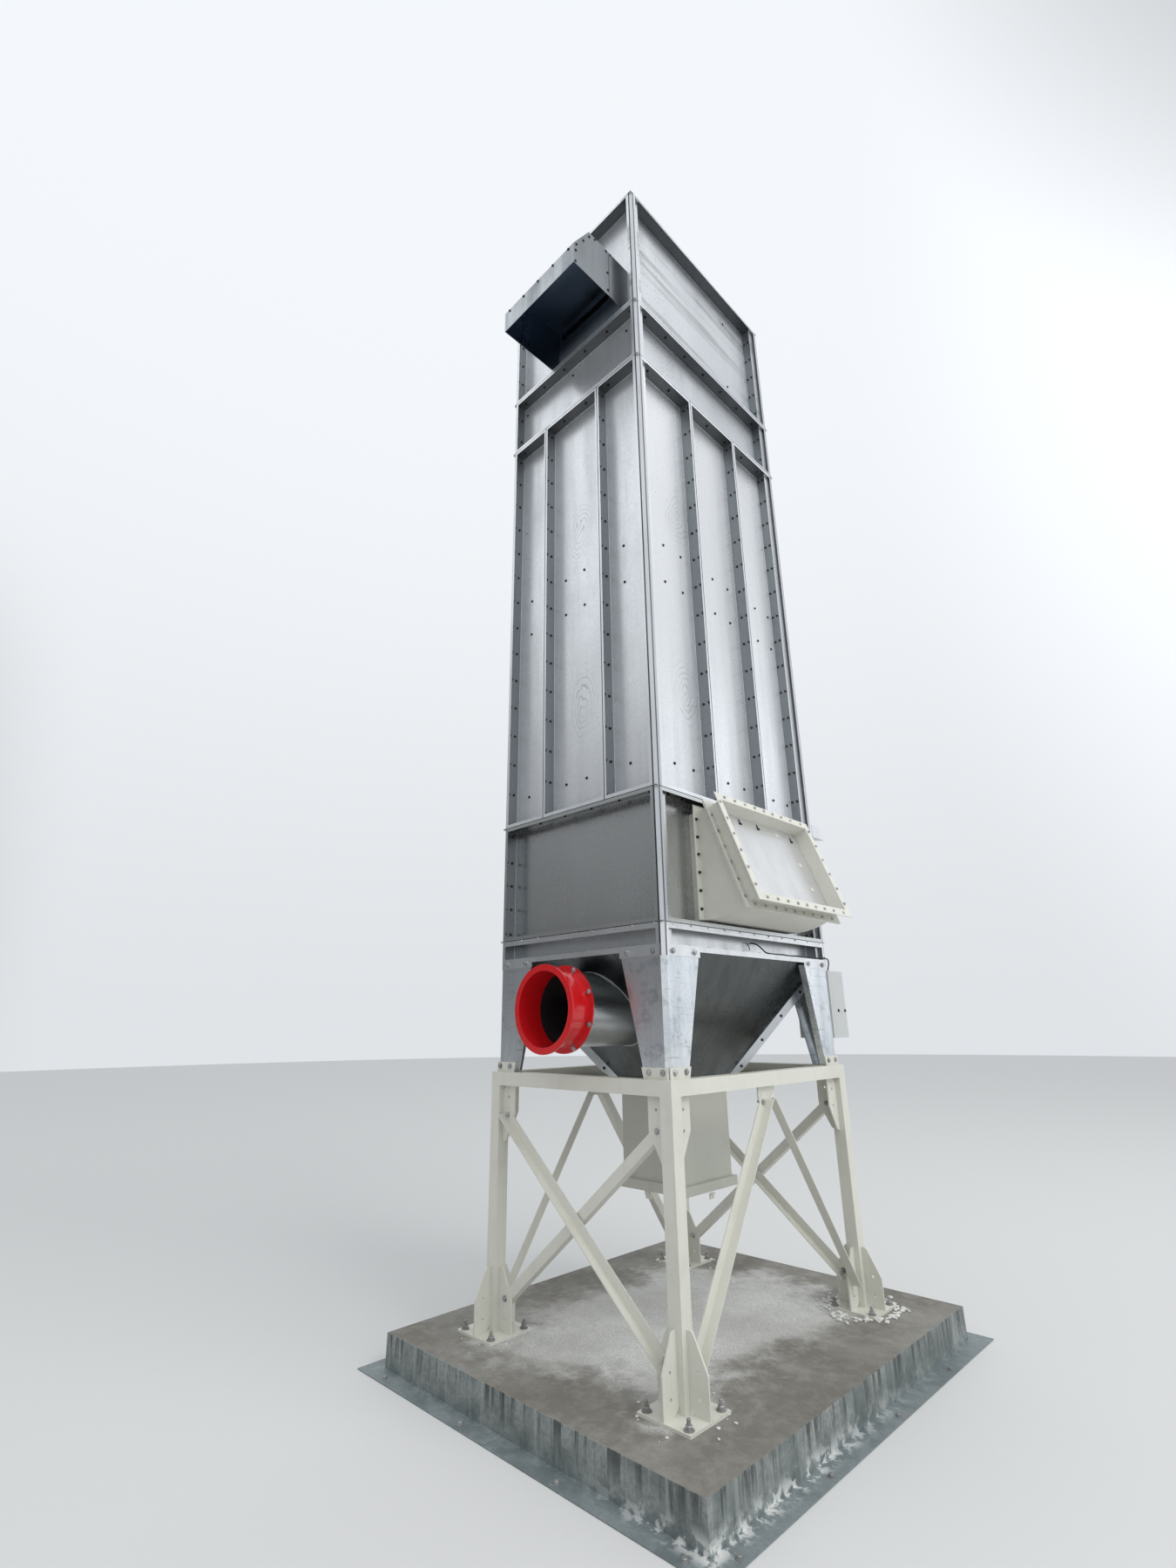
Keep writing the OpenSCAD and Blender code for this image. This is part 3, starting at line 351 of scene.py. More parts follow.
def wiped_rings():
    """Faint rings where oil was wiped off the sheet, round one centre."""
    tree, given = start_group("wiped_rings", X=0.0, Y=0.0, Z=0.0, Reach=0.16)
    squeeze, push = 0.62, 0.14
    bent = warped(tree, stretched(tree, z=squeeze), 6.0, 3.0, push)
    low_z = Field(tree, given["Z"]) * squeeze
    centre = add(tree, "ShaderNodeCombineXYZ", {0: given["X"], 1: given["Y"], 2: low_z}).outputs[0]
    middle = vector_maths(tree, "ADD", centre, (push / 2, push / 2, push / 2))
    distance = Field(tree, vector_maths(tree, "DISTANCE", bent, middle, "Value"))
    reach = Field(tree, given["Reach"])
    wave = distance.maths("SINE", distance * 260.0)
    return end_group(tree, "Mask", between(wave, 0.75, 1.0) * between(distance, reach, reach * 0.5))


# %% [markdown]
# ## Effects that know where they are
# The walls of the tray panels and the inside of the housing lie in shade, and both get painted shade: the
# walls a darker grey, the inside near black. Both could be painted by hand, but the tower is regular: a
# point's distance from the middle tells whether it lies on a sheet's outer face, on a tray's wall or
# inside. The sizes come from the model's own boxes.

# %% Effects of place
SHEET_X, SHEET_Y = 0.541, 0.727
POST_X, POST_Y = 0.604, 0.724
HOUSING_TOP = 7.289


def shaded_tray_walls():
    """The walls and the floors of the tray panels, which get painted shade."""
    tree, given = start_group("shaded_tray_walls", Margin=0.0015)
    margin = Field(tree, given["Margin"])
    x, y, z = split(tree, "Object")
    turn_x, turn_y, turn_z = split(tree, "Normal")
    on_front = (abs(y) > margin + SHEET_Y) * (abs(x) < POST_X - margin) * (abs(turn_y) < 0.5)
    on_side = (abs(x) > margin + SHEET_X) * (abs(y) < POST_Y - margin) * (abs(turn_x) < 0.5)
    return end_group(tree, "Mask", either(on_front, on_side))


def housing_inside():
    """Everything that faces the inside of the tower, which gets a painted near-black shade."""
    tree, given = start_group("housing_inside", Margin=0.0015)
    margin = Field(tree, given["Margin"])
    x, y, z = split(tree, "Object")
    within = (abs(x) < SHEET_X - margin) * (abs(y) < SHEET_Y - margin)
    return end_group(tree, "Mask", within * (z < HOUSING_TOP))


MADE_GROUPS = [zinc_crystals(), downward_streaks(), cloudy_blotches(), sheet_ripple(), wiped_rings()]
MADE_GROUPS += [shaded_tray_walls(), housing_inside()]
EFFECTS = {group.name: group for group in MADE_GROUPS}
print("effect groups:", list(EFFECTS))


def effect(tree, name, **values):
    """Places an effect group in a material with its own values."""
    node = tree.nodes.new("ShaderNodeGroup")
    node.node_tree = EFFECTS[name]
    fill(tree, node, values)
    return Field(tree, node.outputs[0])


def blotches(tree, scale, low, high, **more):
    """Cloudy blotches of one scale."""
    return effect(tree, "cloudy_blotches", Scale=scale, Low=low, High=high, **more)


def streaks(tree, fineness, low, high):
    """Downward streaks of one fineness."""
    return effect(tree, "downward_streaks", Fineness=fineness, Low=low, High=high)


# %% [markdown]
# ## Galvanised sheet
# Hot dipped sheet is a metal with soft reflections. What makes it read as zinc is small: crystals a
# centimetre wide, long dull streaks, and a slight waviness that bends reflections on a large panel. The
# same recipe serves the bright panels, the smoother plenum, the posts, the darker cowl and the duller
# hopper plate, with other values. Each may take one more function that adds marks, painted shade or both to
# its colour.

# %% The recipe for galvanised sheet
RIPPLE = 0.02
FACET = 0.0005
ROUGHER = 0.22


def new_material(name):
    """An empty material with a Principled shader; returns the material, its tree and the shader."""
    material = bpy.data.materials.new(name)
    material.use_nodes = True
    return material, material.node_tree, material.node_tree.nodes["Principled BSDF"]


def zinc_sheet(
    name, bright, dull, roughness, metal=1.0,
    crystal=0.10, streak=0.35, patch=0.25, fine=0.12, grain=0.03, marks_and_shade=None,
):
    """Galvanised sheet between a bright and a dull tone. marks_and_shade may add marks and painted shade to
    its colour.
    """
    material, tree, shader = new_material(name)
    tone = effect(tree, "zinc_crystals", Scale=75.0)
    broad = streaks(tree, 9.0, 0.40, 0.72)
    threads = streaks(tree, 70.0, 0.35, 0.75)
    patches = blotches(tree, 1.3, 0.35, 0.72)
    dullness = broad * streak + patches * patch + tone * crystal + threads * fine
    dullness.socket.node.use_clamp = True
    colour = laid(tree, bright, dullness, dull)
    if marks_and_shade:
        colour = marks_and_shade(tree, colour)
    wave = effect(tree, "sheet_ripple", Scale=1.5)
    waved = bump(tree, Height=wave, Strength=1.0, Distance=RIPPLE)
    look = {
        "Base Color": colour,
        "Roughness": ranged(dullness, roughness, roughness + ROUGHER),
        "Metallic": metal,
        "Normal": bump(tree, Height=tone, Strength=grain, Distance=FACET, Normal=waved),
    }
    fill(tree, shader, look)
    return material


# %% [markdown]
# ## Marks and painted shade on the sheets
# The trays are bolted back to back, and painted shade darkens the narrow gap down each rib and each corner
# post, and the posts' bend. Painted shade also darkens the wall under the cowl, the cowl's sides and its
# inside. Rings and smears are where oil was wiped off, and the brackets carry scratches of handling. All of
# these follow the construction, so their places come from the boxes of the CAD pieces.

# %% Places that the marks follow
OUTER_X, OUTER_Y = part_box("collar")[1].x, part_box("collar")[1].y
PLINTH_X, PLINTH_Y, PLINTH_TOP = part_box("plinth")[1]
RIB = {0: 0.255, 1: 0.260, 2: 0.255, 3: 0.260}
RIB_FOOT, RIB_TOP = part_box("filter_panels_front")[0].z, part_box("filter_panels_front")[1].z
POST_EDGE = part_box("filter_panels_front")[1].x + 0.0015
POST_BEND = OUTER_Y - 0.024
JOINT_HALF = 0.0035
cowl_low, cowl_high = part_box("exhaust_cowl")
COWL_MIDDLE = (cowl_low.x + cowl_high.x) / 2
COWL_HALF = (cowl_high.x - cowl_low.x) / 2
COWL_RIM = cowl_low.z
COWL_TOP = cowl_high.z
WIPED = [(0.0, -0.727, 4.756), (0.005, -0.727, 3.506), (0.541, -0.371, 4.79), (0.541, -0.391, 3.526)]
print("joints at", RIB[0], RIB[1], round(POST_EDGE, 4), "cowl's rim at", round(COWL_RIM, 3))


# %% Marks and painted shade on the tower's sheets
def joint_shade_lines(tree, colour):
    """Painted shade in the gap down the middle of each rib, in the corner posts' groove and at their bend.
    """
    x, y, z = split(tree, "Object")
    out_x, out_y = abs(x), abs(y)
    ribbed = (z > RIB_FOOT) * (z < RIB_TOP)
    front = either((abs(out_x - RIB[0]) < JOINT_HALF) * ribbed, abs(out_x - POST_EDGE) < JOINT_HALF)
    side = either((abs(out_y - RIB[1]) < JOINT_HALF) * ribbed, abs(out_y - POST_BEND) < JOINT_HALF)
    joint = either(front * (out_y > OUTER_Y - 0.006), side * (out_x > OUTER_X - 0.006))
    # Painted shade: a dark line in the joints' gaps and along the posts' bend.
    return laid(tree, colour, joint * 0.85, (0.055, 0.06, 0.065))


def painted_shade_under_cowl(tree, colour):
    """Painted shade on the chamber's front sheet where the cowl covers it, fading towards the cowl's open
    foot.
    """
    x, y, z = split(tree, "Object")
    behind = (abs(x - COWL_MIDDLE) < COWL_HALF) * (y < -0.70) * (y > -0.75)
    covered = behind * between(z, COWL_RIM + 0.02, COWL_RIM + 0.26) * (z < COWL_TOP)
    # Painted shade under the cowl: near black above, lighter towards its foot.
    return laid(tree, colour, covered * 0.98, (0.03, 0.04, 0.055))


def level_smears(tree, colour):
    """Long level smears of oil on the chamber's side sheets, left by the rollers that straightened them."""
    x, y, z = split(tree, "Object")
    smear = between(noise_at(tree, stretched(tree, 0.2, 0.30, 7.0), 1.7, 3.0), 0.48, 0.62)
    there = between(z, 6.30, 6.42) * (x > 0.53) * smear
    return laid(tree, colour, there * 0.70, (0.33, 0.35, 0.35))


def smears_and_painted_shade(tree, colour):
    """Paints shade on the tray walls, darker on their undersides, paints the inside near black, and adds
    oil smears, wiped rings, the painted shade under the cowl and the joints' painted shade.
    """
    turn_x, turn_y, turn_z = split(tree, "Normal")
    # Painted shade for the tray walls: dark grey, and near black on their undersides.
    shade = laid(tree, (0.165, 0.185, 0.20), turn_z < -0.5, (0.045, 0.048, 0.05))
    colour = level_smears(tree, colour)
    for x, y, z in WIPED:
        rings = effect(tree, "wiped_rings", X=x, Y=y, Z=z)
        colour = laid(tree, colour, rings * 0.5, (0.30, 0.31, 0.32))
    # Lays the painted shade on the tray walls.
    colour = laid(tree, colour, effect(tree, "shaded_tray_walls") * 0.9, shade)
    colour = painted_shade_under_cowl(tree, colour)
    # Painted shade: the inside of the housing near black.
    colour = laid(tree, colour, effect(tree, "housing_inside") * 0.92, (0.05, 0.05, 0.05))
    return joint_shade_lines(tree, colour)


# %% Marks on the brackets and the hopper, painted shade on the cowl
def handled(tree, colour):
    """Dark rubbed marks and short scratches of handling."""
    scratched = between(noise_at(tree, stretched(tree, z=9), 5.0, 4.0), 0.62, 0.68)
    colour = laid(tree, colour, blotches(tree, 13.0, 0.54, 0.66) * 0.40, (0.30, 0.34, 0.37))
    return laid(tree, colour, scratched * 0.35, (0.26, 0.28, 0.30))


def light_seams(tree, colour):
    """Lightens the standing seams, whose faces are upright and look along the hopper's diagonals."""
    turn_x, turn_y, turn_z = split(tree, "Normal")
    seam = (abs(turn_z) < 0.2) * (abs(turn_x) > 0.3) * (abs(turn_y) > 0.3)
    return laid(tree, colour, seam, (0.60, 0.62, 0.64))


def cowl_painted_shade(tree, colour):
    """Paints shade on the cowl: its sides darker, and its inside, whose faces look towards its middle, a
    dark navy.
    """
    x, y, z = split(tree, "Object")
    turn_x, turn_y, turn_z = split(tree, "Normal")
    inward = (x - COWL_MIDDLE) * turn_x < -0.1
    downward = (turn_z < -0.1) * (z > COWL_RIM + 0.001)
    inside = either(inward, either(turn_y > 0.1, downward))
    # Painted shade: the cowl's sides, which face along X, darker.
    colour = laid(tree, colour, (abs(turn_x) > 0.5) * 0.85, (0.115, 0.13, 0.14))
    # Painted shade: the cowl's inside a dark navy.
    return laid(tree, colour, inside * 0.97, (0.15, 0.20, 0.28))


# %% Galvanised finishes
PANEL_ZINC = zinc_sheet(
    "panel_zinc", (0.88, 0.895, 0.915), (0.62, 0.64, 0.67), 0.25, 0.62,
    crystal=0.26, fine=0.08, marks_and_shade=smears_and_painted_shade,
)
# A darker copy of the panel zinc: painted shade for the chamber's and the band's side sheets, which mirror
# a duller sky.
SHADED_PANEL_ZINC = zinc_sheet(
    "shaded_panel_zinc", (0.69, 0.715, 0.745), (0.47, 0.49, 0.52), 0.25, 0.66,
    crystal=0.26, fine=0.08, marks_and_shade=smears_and_painted_shade,
)
PLENUM_ZINC = zinc_sheet(
    "plenum_zinc", (0.62, 0.63, 0.63), (0.48, 0.495, 0.50), 0.24, 0.92,
    crystal=0.05, streak=0.10, patch=0.18, fine=0.0, grain=0.0, marks_and_shade=smears_and_painted_shade,
)
COLLAR_ZINC = zinc_sheet(
    "collar_zinc", (0.84, 0.85, 0.86), (0.58, 0.60, 0.62), 0.25, 0.95, crystal=0.2, marks_and_shade=smears_and_painted_shade
)
POST_ZINC = zinc_sheet(
    "corner_post_zinc", (0.58, 0.60, 0.62), (0.38, 0.40, 0.42), 0.32, 0.6, patch=0.5, marks_and_shade=joint_shade_lines
)
COWL_ZINC = zinc_sheet(
    "cowl_zinc", (0.48, 0.50, 0.52), (0.25, 0.27, 0.29), 0.24, streak=0.55, patch=0.6, marks_and_shade=cowl_painted_shade
)
# The sill takes the painted shade under the cowl.
SILL_ZINC = zinc_sheet(
    "outlet_sill_zinc", (0.86, 0.90, 0.95), (0.60, 0.63, 0.66), 0.35, 0.6, marks_and_shade=painted_shade_under_cowl
)
HOPPER_ZINC = zinc_sheet(
    "hopper_zinc", (0.125, 0.13, 0.13), (0.08, 0.088, 0.088), 0.20, streak=0.5, marks_and_shade=light_seams
)
BRACKET_ZINC = zinc_sheet(
    "bracket_zinc", (0.90, 0.92, 0.94), (0.44, 0.48, 0.52), 0.22, crystal=0.2, patch=0.45, marks_and_shade=handled
)
PIPE_ZINC = zinc_sheet("pipe_zinc", (0.50, 0.52, 0.53), (0.36, 0.38, 0.40), 0.26)
FLAP_ZINC = zinc_sheet("bursting_panel_zinc", (0.84, 0.84, 0.84), (0.64, 0.64, 0.65), 0.30, patch=0.5)
print("zinc finishes ready")

# %% [markdown]
# ## The edge form
# The folded sheet round the plinth was left in place after the concrete was cast. It is zinc too, but
# weathered past shine: dark drips run down from its top edge, and cement lies on its foot, most of it at
# the right front.

# %% Weathered zinc with cement
def edge_form_zinc():
    """Dull zinc with dark drips under its top edge and cement on its foot."""
    material, tree, shader = new_material("edge_form_zinc")
    x, y, z = split(tree, "Object")
    patches = blotches(tree, 5.0, 0.38, 0.62)
    drips = streaks(tree, 30.0, 0.50, 0.60) * between(z, 0.01, 0.15)
    base = laid(tree, (0.17, 0.195, 0.19), patches, (0.32, 0.345, 0.335))
    base = laid(tree, base, blotches(tree, 60.0, 0.45, 0.62) * 0.35, (0.10, 0.11, 0.105))
    base = laid(tree, base, streaks(tree, 22.0, 0.52, 0.66) * 0.40, (0.46, 0.49, 0.47))
    base = laid(tree, base, drips * 0.80, (0.045, 0.05, 0.048))
    base = laid(tree, base, between(z, 0.030, 0.004) * 0.6, (0.20, 0.245, 0.26))
    outside = either(either(abs(x) - PLINTH_X, abs(y) - PLINTH_Y), 0.0)
    spilled = between(x, 0.35, 0.95) * between(y, 0.5, -0.6) * 0.85 + 0.12
    crust = blotches(tree, 16.0, 0.47, 0.56) * between(z, 0.075, 0.01)
    crust = crust * between(outside, 0.075, 0.015) * spilled
    base = laid(tree, base, crust, (0.72, 0.73, 0.71))
    fill(tree, shader, {"Base Color": base, "Metallic": 0.35, "Roughness": ranged(patches, 0.42, 0.70)})
    return material


EDGE_ZINC = edge_form_zinc()
print("edge form ready, outside", round(PLINTH_X, 3), "by", round(PLINTH_Y, 3))

# %% [markdown]
# ## Paint, concrete and rubber
# The frame and the vent wear a satin cream paint, nearly even, with a little grime where dust settles.
# The spool is gloss red. The plinth is cast concrete: brownish where it is damp and walked on, pale where
# dust was swept, with fine grains and a few pits.

# %% Painted and mineral materials
def satin_paint(name, colour, grime, roughness, amount=0.25, coat=0.0):
    """Even paint with faint blotches of grime and a fine orange peel."""
    material, tree, shader = new_material(name)
    patches = blotches(tree, 3.5, 0.45, 0.75)
    dirt = either(patches, streaks(tree, 14.0, 0.5, 0.8)) * amount
    peel = blotches(tree, 260.0, 0.2, 0.8, Detail=1.0)
    look = {
        "Base Color": laid(tree, colour, dirt, grime),
        "Roughness": ranged(patches, roughness, roughness + 0.1),
        "Coat Weight": coat,
        "Coat Roughness": 0.08,
        "Normal": bump(tree, Height=peel, Strength=0.05, Distance=0.001),
    }
    fill(tree, shader, look)
    return material


def cast_concrete():
    """Concrete with broad stains, damp edges, pale dust swept round the legs, grains and pits."""
    material, tree, shader = new_material("cast_concrete")
    mottled = blotches(tree, 17.0, 0.42, 0.66)
    grains = blotches(tree, 150.0, 0.42, 0.64, Detail=3.0)
    drift = blotches(tree, 3.0, 0.25, 0.75)
    wide = blotches(tree, 1.4, 0.35, 0.65)
    x, y, z = split(tree, "Object")
    edge = either(abs(x) / PLINTH_X, abs(y) / PLINTH_Y)
    damp = between(edge, 0.60, 0.92) * (drift * 0.8 + 0.2)
    reach = either(abs(x) / 0.66, abs(y) / 0.96) + (drift - 0.5) * 0.55
    swept = between(reach, 1.10, 0.66) * (wide * 0.45 + 0.55)
    colour = laid(tree, (0.30, 0.29, 0.265), blotches(tree, 2.6, 0.40, 0.62), (0.185, 0.175, 0.15))
    colour = laid(tree, colour, mottled * 0.45, (0.40, 0.385, 0.35))
    colour = laid(tree, colour, damp * 0.60, (0.125, 0.116, 0.096))
    colour = laid(tree, colour, swept * 0.92, (0.74, 0.74, 0.72))
    colour = laid(tree, colour, grains * 0.42, (0.17, 0.16, 0.14))
    pitted = bump(tree, Height=mottled * 0.6 + grains * 0.4, Strength=0.5, Distance=0.004)
    fill(tree, shader, {"Base Color": colour, "Roughness": 0.88, "Normal": pitted})
    return material


CREAM = satin_paint("cream_paint", (0.66, 0.655, 0.585), (0.42, 0.41, 0.35), 0.42)
# A greyer cream for the chute, also darker as painted shade, since it stands in shade under the hopper.
SHADED_CHUTE_CREAM = satin_paint("chute_grey_shaded_paint", (0.50, 0.505, 0.445), (0.34, 0.34, 0.29), 0.46)
RED = satin_paint("red_gloss_paint", (0.62, 0.008, 0.012), (0.40, 0.01, 0.012), 0.22, amount=0.3, coat=0.6)
BOX_PAINT = satin_paint("box_powder_coat", (0.50, 0.515, 0.51), (0.36, 0.37, 0.36), 0.40)
SEAL = satin_paint("seal_rubber", (0.015, 0.015, 0.017), (0.05, 0.05, 0.05), 0.62)
CONCRETE = cast_concrete()
print("paints and concrete ready")

# %% [markdown]
# ## Which piece wears what
# Each CAD piece has one material slot by name. Most pieces take the finish of their slot. A few are set
# by name, because the same sheet looks different where it is smoother or dirtier, and the side sheets of
# the chamber and the band take a darker copy of the panel zinc: painted shade where they mirror a duller
# sky.

# %% Finishes on the CAD pieces
SIDES = ("front", "right", "back", "left")
CORNERS = ("front_right", "back_right", "back_left", "front_left")
FINISH_BY_SLOT = {
    "galvanised_sheet": PANEL_ZINC,
    "hopper_plate": HOPPER_ZINC,
    "edge_sheet": EDGE_ZINC,
    "cream_paint": CREAM,
    "red_paint": RED,
    "box_paint": BOX_PAINT,
    "seal": SEAL,
    "cable": SEAL,
    "concrete": CONCRETE,
}
FINISH_BY_NODE = {
    "exhaust_cowl": COWL_ZINC,
    "collar": COLLAR_ZINC,
    "chamber_right": SHADED_PANEL_ZINC,
    "chamber_left": SHADED_PANEL_ZINC,
    "band_right": SHADED_PANEL_ZINC,
    "chute": SHADED_CHUTE_CREAM,
    "inlet_stub": PIPE_ZINC,
    "vent_panel": FLAP_ZINC,
}
FINISH_BY_NODE.update({"plenum_" + side: PLENUM_ZINC for side in SIDES})
FINISH_BY_NODE.update({"corner_post_" + corner: POST_ZINC for corner in CORNERS})
FINISH_BY_NODE.update({"bracket_" + corner: BRACKET_ZINC for corner in CORNERS})
for part in frame["record"]["subparts"]:
    name = part["node"]
    finish = FINISH_BY_NODE.get(name, FINISH_BY_SLOT[part["material_slot"]])
    mesh = nodes[name].data
    mesh.materials.clear()
    mesh.materials.append(finish)

# %% [markdown]
# ## Fasteners
# The tower is held by well over a thousand bolts and screws of a few kinds. Each kind is turned once as a
# small mesh, with its foot at the origin and its head up. A Geometry Nodes tree then stands a copy on
# every point of a cloud, turns it to the direction stored with the point, and spins it a little, since
# hexagons never line up on a real wall. The tree ends in plain mesh.

# %% Fastener shapes
def turned(build, profile, sides):
    """Turns a profile of (radius, height) pairs about Z and closes both its ends."""
    angles = [2 * math.pi * i / sides for i in range(sides)]
    rings = []
    for radius, height in profile:
        ring = [(radius * math.cos(a), radius * math.sin(a), height) for a in angles]
        rings.append([build.verts.new(place) for place in ring])
    for low, high in zip(rings, rings[1:]):
        for i in range(sides):
            j = (i + 1) % sides
            build.faces.new((low[i], low[j], high[j], high[i]))
    build.faces.new(rings[-1])
    build.faces.new(list(reversed(rings[0])))


def fastener_mesh(name, turnings):
    """A mesh made of several turned solids."""
    build = bmesh.new()
    for profile, sides in turnings:
        turned(build, profile, sides)
    mesh = bpy.data.meshes.new(name)
    build.to_mesh(mesh)
    build.free()
    return bpy.data.objects.new(name, mesh)


def hexagon(washer, flats, head, stud=None):
    """A washer of (radius, height), a bevelled hexagon, and for a nut a stud end of (radius, top)."""
    wide, base = washer
    corner = flats / math.sqrt(3)
    top = base + head
    turnings = [([(wide, 0.0), (wide, base)], 12)]
    turnings.append(([(corner, base), (corner, base + head * 0.8), (corner * 0.86, top)], 6))
    if stud:
        radius, tip = stud
        turnings.append(([(radius, top), (radius, tip - radius * 0.4), (radius * 0.65, tip)], 8))
    return turnings


SHEET_WASHER = (0.0090, 0.0016)
FRAME_WASHER = (0.0150, 0.0025)
DOME = ([(0.0070, 0.0100), (0.0062, 0.0135), (0.0035, 0.0160)], 10)
SHEET_BOLT = fastener_mesh("sheet_bolt", hexagon(SHEET_WASHER, 0.013, 0.0055))
SHEET_NUT = fastener_mesh("sheet_nut", hexagon(SHEET_WASHER, 0.013, 0.0065, stud=(0.004, 0.014)))
FRAME_BOLT = fastener_mesh("frame_bolt", hexagon(FRAME_WASHER, 0.019, 0.0080))
FRAME_NUT = fastener_mesh("frame_nut", hexagon(FRAME_WASHER, 0.019, 0.0100, stud=(0.006, 0.022)))
BRACKET_BOLT = fastener_mesh("bracket_bolt", hexagon((0.0165, 0.0030), 0.021, 0.0090))
ANCHOR = fastener_mesh("anchor", hexagon((0.0220, 0.0035), 0.027, 0.0150, stud=(0.0085, 0.040)))
TEK_SCREW = fastener_mesh("sheet_screw", hexagon((0.0095, 0.0016), 0.0110, 0.0055))
RIVET = fastener_mesh("rivet", [([(0.0062, 0.0), (0.0056, 0.0022), (0.0030, 0.0036)], 10)])
DOME_NUT = fastener_mesh("ring_nut", hexagon((0.0125, 0.0020), 0.017, 0.0080) + [DOME])
print("faces of an anchor:", len(ANCHOR.data.polygons), "of a sheet bolt:", len(SHEET_BOLT.data.polygons))


# %% Fastener finish
def fastener_zinc(name, colour, roughness, metal=1.0):
    """Plated steel, a little different from one fastener to the next."""
    material, tree, shader = new_material(name)
    patches = blotches(tree, 9.0, 0.35, 0.65)
    darker = tuple(0.6 * c for c in colour)
    rough = ranged(patches, roughness, roughness + 0.2)
    tone = laid(tree, colour, patches, darker)
    fill(tree, shader, {"Base Color": tone, "Roughness": rough, "Metallic": metal})
    return material


BOLT_ZINC = fastener_zinc("bolt_zinc", (0.56, 0.57, 0.58), 0.30)
BOLT_DARK = fastener_zinc("bolt_dark", (0.07, 0.07, 0.075), 0.42)
ANCHOR_STEEL = fastener_zinc("anchor_steel", (0.40, 0.40, 0.39), 0.45, metal=0.5)
print("fastener finishes ready")


# %% The tree that sets fasteners on points
def fastener_tree():
    """Geometry nodes: an instance on each point, facing the stored direction."""
    tree = bpy.data.node_groups.new("fasteners_on_points", "GeometryNodeTree")
    kinds = {"Points": "Geometry", "Fastener": "Object", "Finish": "Material", "Spin": "Float"}
    for label, kind in kinds.items():
        socket = tree.interface.new_socket(label, in_out="INPUT", socket_type="NodeSocket" + kind)
    socket.default_value = math.pi
    tree.interface.new_socket("Fasteners", in_out="OUTPUT", socket_type="NodeSocketGeometry")
    given = add(tree, "NodeGroupInput").outputs
    facing = add(tree, "GeometryNodeInputNamedAttribute", {"Name": "facing"}, data_type="FLOAT_VECTOR")
    aim = add(tree, "FunctionNodeAlignRotationToVector", {"Vector": facing.outputs["Attribute"]}, axis="Z")
    chance = Field(tree, add(tree, "FunctionNodeRandomValue", {"Seed": 7}, data_type="FLOAT").outputs[1])
    spin = {"Axis": (0, 0, 1), "Angle": chance * given["Spin"]}
    twist = add(tree, "FunctionNodeAxisAngleToRotation", spin)
    turns = {"Rotation": aim.outputs[0], "Rotate By": twist.outputs[0]}
    turn = add(tree, "FunctionNodeRotateRotation", turns, rotation_space="LOCAL").outputs[0]
    shape = add(tree, "GeometryNodeObjectInfo", {"Object": given["Fastener"]}).outputs["Geometry"]
    stands = {"Points": given["Points"], "Instance": shape, "Rotation": turn}
    copies = add(tree, "GeometryNodeInstanceOnPoints", stands).outputs[0]
    solid = add(tree, "GeometryNodeRealizeInstances", {0: copies}).outputs[0]
    dressed = add(tree, "GeometryNodeSetMaterial", {"Geometry": solid, "Material": given["Finish"]})
    add(tree, "NodeGroupOutput", {0: dressed.outputs[0]})
    return tree


FASTENER_TREE = fastener_tree()


def set_fasteners(name, kind, finish, places):
    """Stands a fastener of this kind on each (point, direction) pair and keeps the result as one mesh."""
    cloud = bpy.data.meshes.new(name)
    cloud.from_pydata([tuple(point) for point, direction in places], [], [])
    facing = cloud.attributes.new("facing", "FLOAT_VECTOR", "POINT")
    for index, (point, direction) in enumerate(places):
        facing.data[index].vector = direction
    holder = bpy.data.objects.new(name, cloud)
    bpy.context.scene.collection.objects.link(holder)
    modifier = holder.modifiers.new("fasteners", "NODES")
    modifier.node_group = FASTENER_TREE
    items = FASTENER_TREE.interface.items_tree
    inputs = {item.name: item.identifier for item in items if item.in_out == "INPUT"}
    modifier[inputs["Fastener"]] = kind
    modifier[inputs["Finish"]] = finish
    evaluated = holder.evaluated_get(bpy.context.evaluated_depsgraph_get())
    solid = bpy.data.meshes.new_from_object(evaluated)
    bpy.data.objects.remove(holder)
    piece = bpy.data.objects.new(name, solid)
    bpy.context.scene.collection.objects.link(piece)
    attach(piece, "root")
    print(name, len(places), "fasteners,", len(solid.polygons), "faces")


# %% [markdown]
# ## Where the tower's bolts go
# Every wall is drawn the same way, so places are worked out on a flat wall first: how far along it, how
# deep behind its outer face, and how high. One function turns that into a point in the model for any of
# the four walls, counted from the front to the right, the back and the left. The rows and pitches were
# read off the picture; walls that it doesn't show repeat those of the wall opposite.

# %% Walls and rows
SHEET = 0.003
RECESS = OUTER_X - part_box("filter_panels_right")[0].x - SHEET
RIB_FACE = 0.001 + SHEET
POST_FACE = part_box("filter_panels_front")[1].x - SHEET
SIDE_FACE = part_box("filter_panels_back")[0].y - SHEET
ACROSS = {0: Vector((1, 0, 0)), 1: Vector((0, 1, 0)), 2: Vector((-1, 0, 0)), 3: Vector((0, -1, 0))}
OUTWARD = {0: Vector((0, -1, 0)), 1: Vector((1, 0, 0)), 2: Vector((0, 1, 0)), 3: Vector((-1, 0, 0))}
WALL_HALF = {0: OUTER_Y, 1: OUTER_X, 2: OUTER_Y, 3: OUTER_X}
UP = Vector((0, 0, 1))
WAYS = (-1, 1)
CORNER_WAYS = [(x, y) for x in WAYS for y in WAYS]


def on_wall(side, along, depth, height):
    """A point of one wall: along it from its middle, behind its outer face, above the ground."""
    return ACROSS[side] * along + OUTWARD[side] * (WALL_HALF[side] - depth) + UP * height


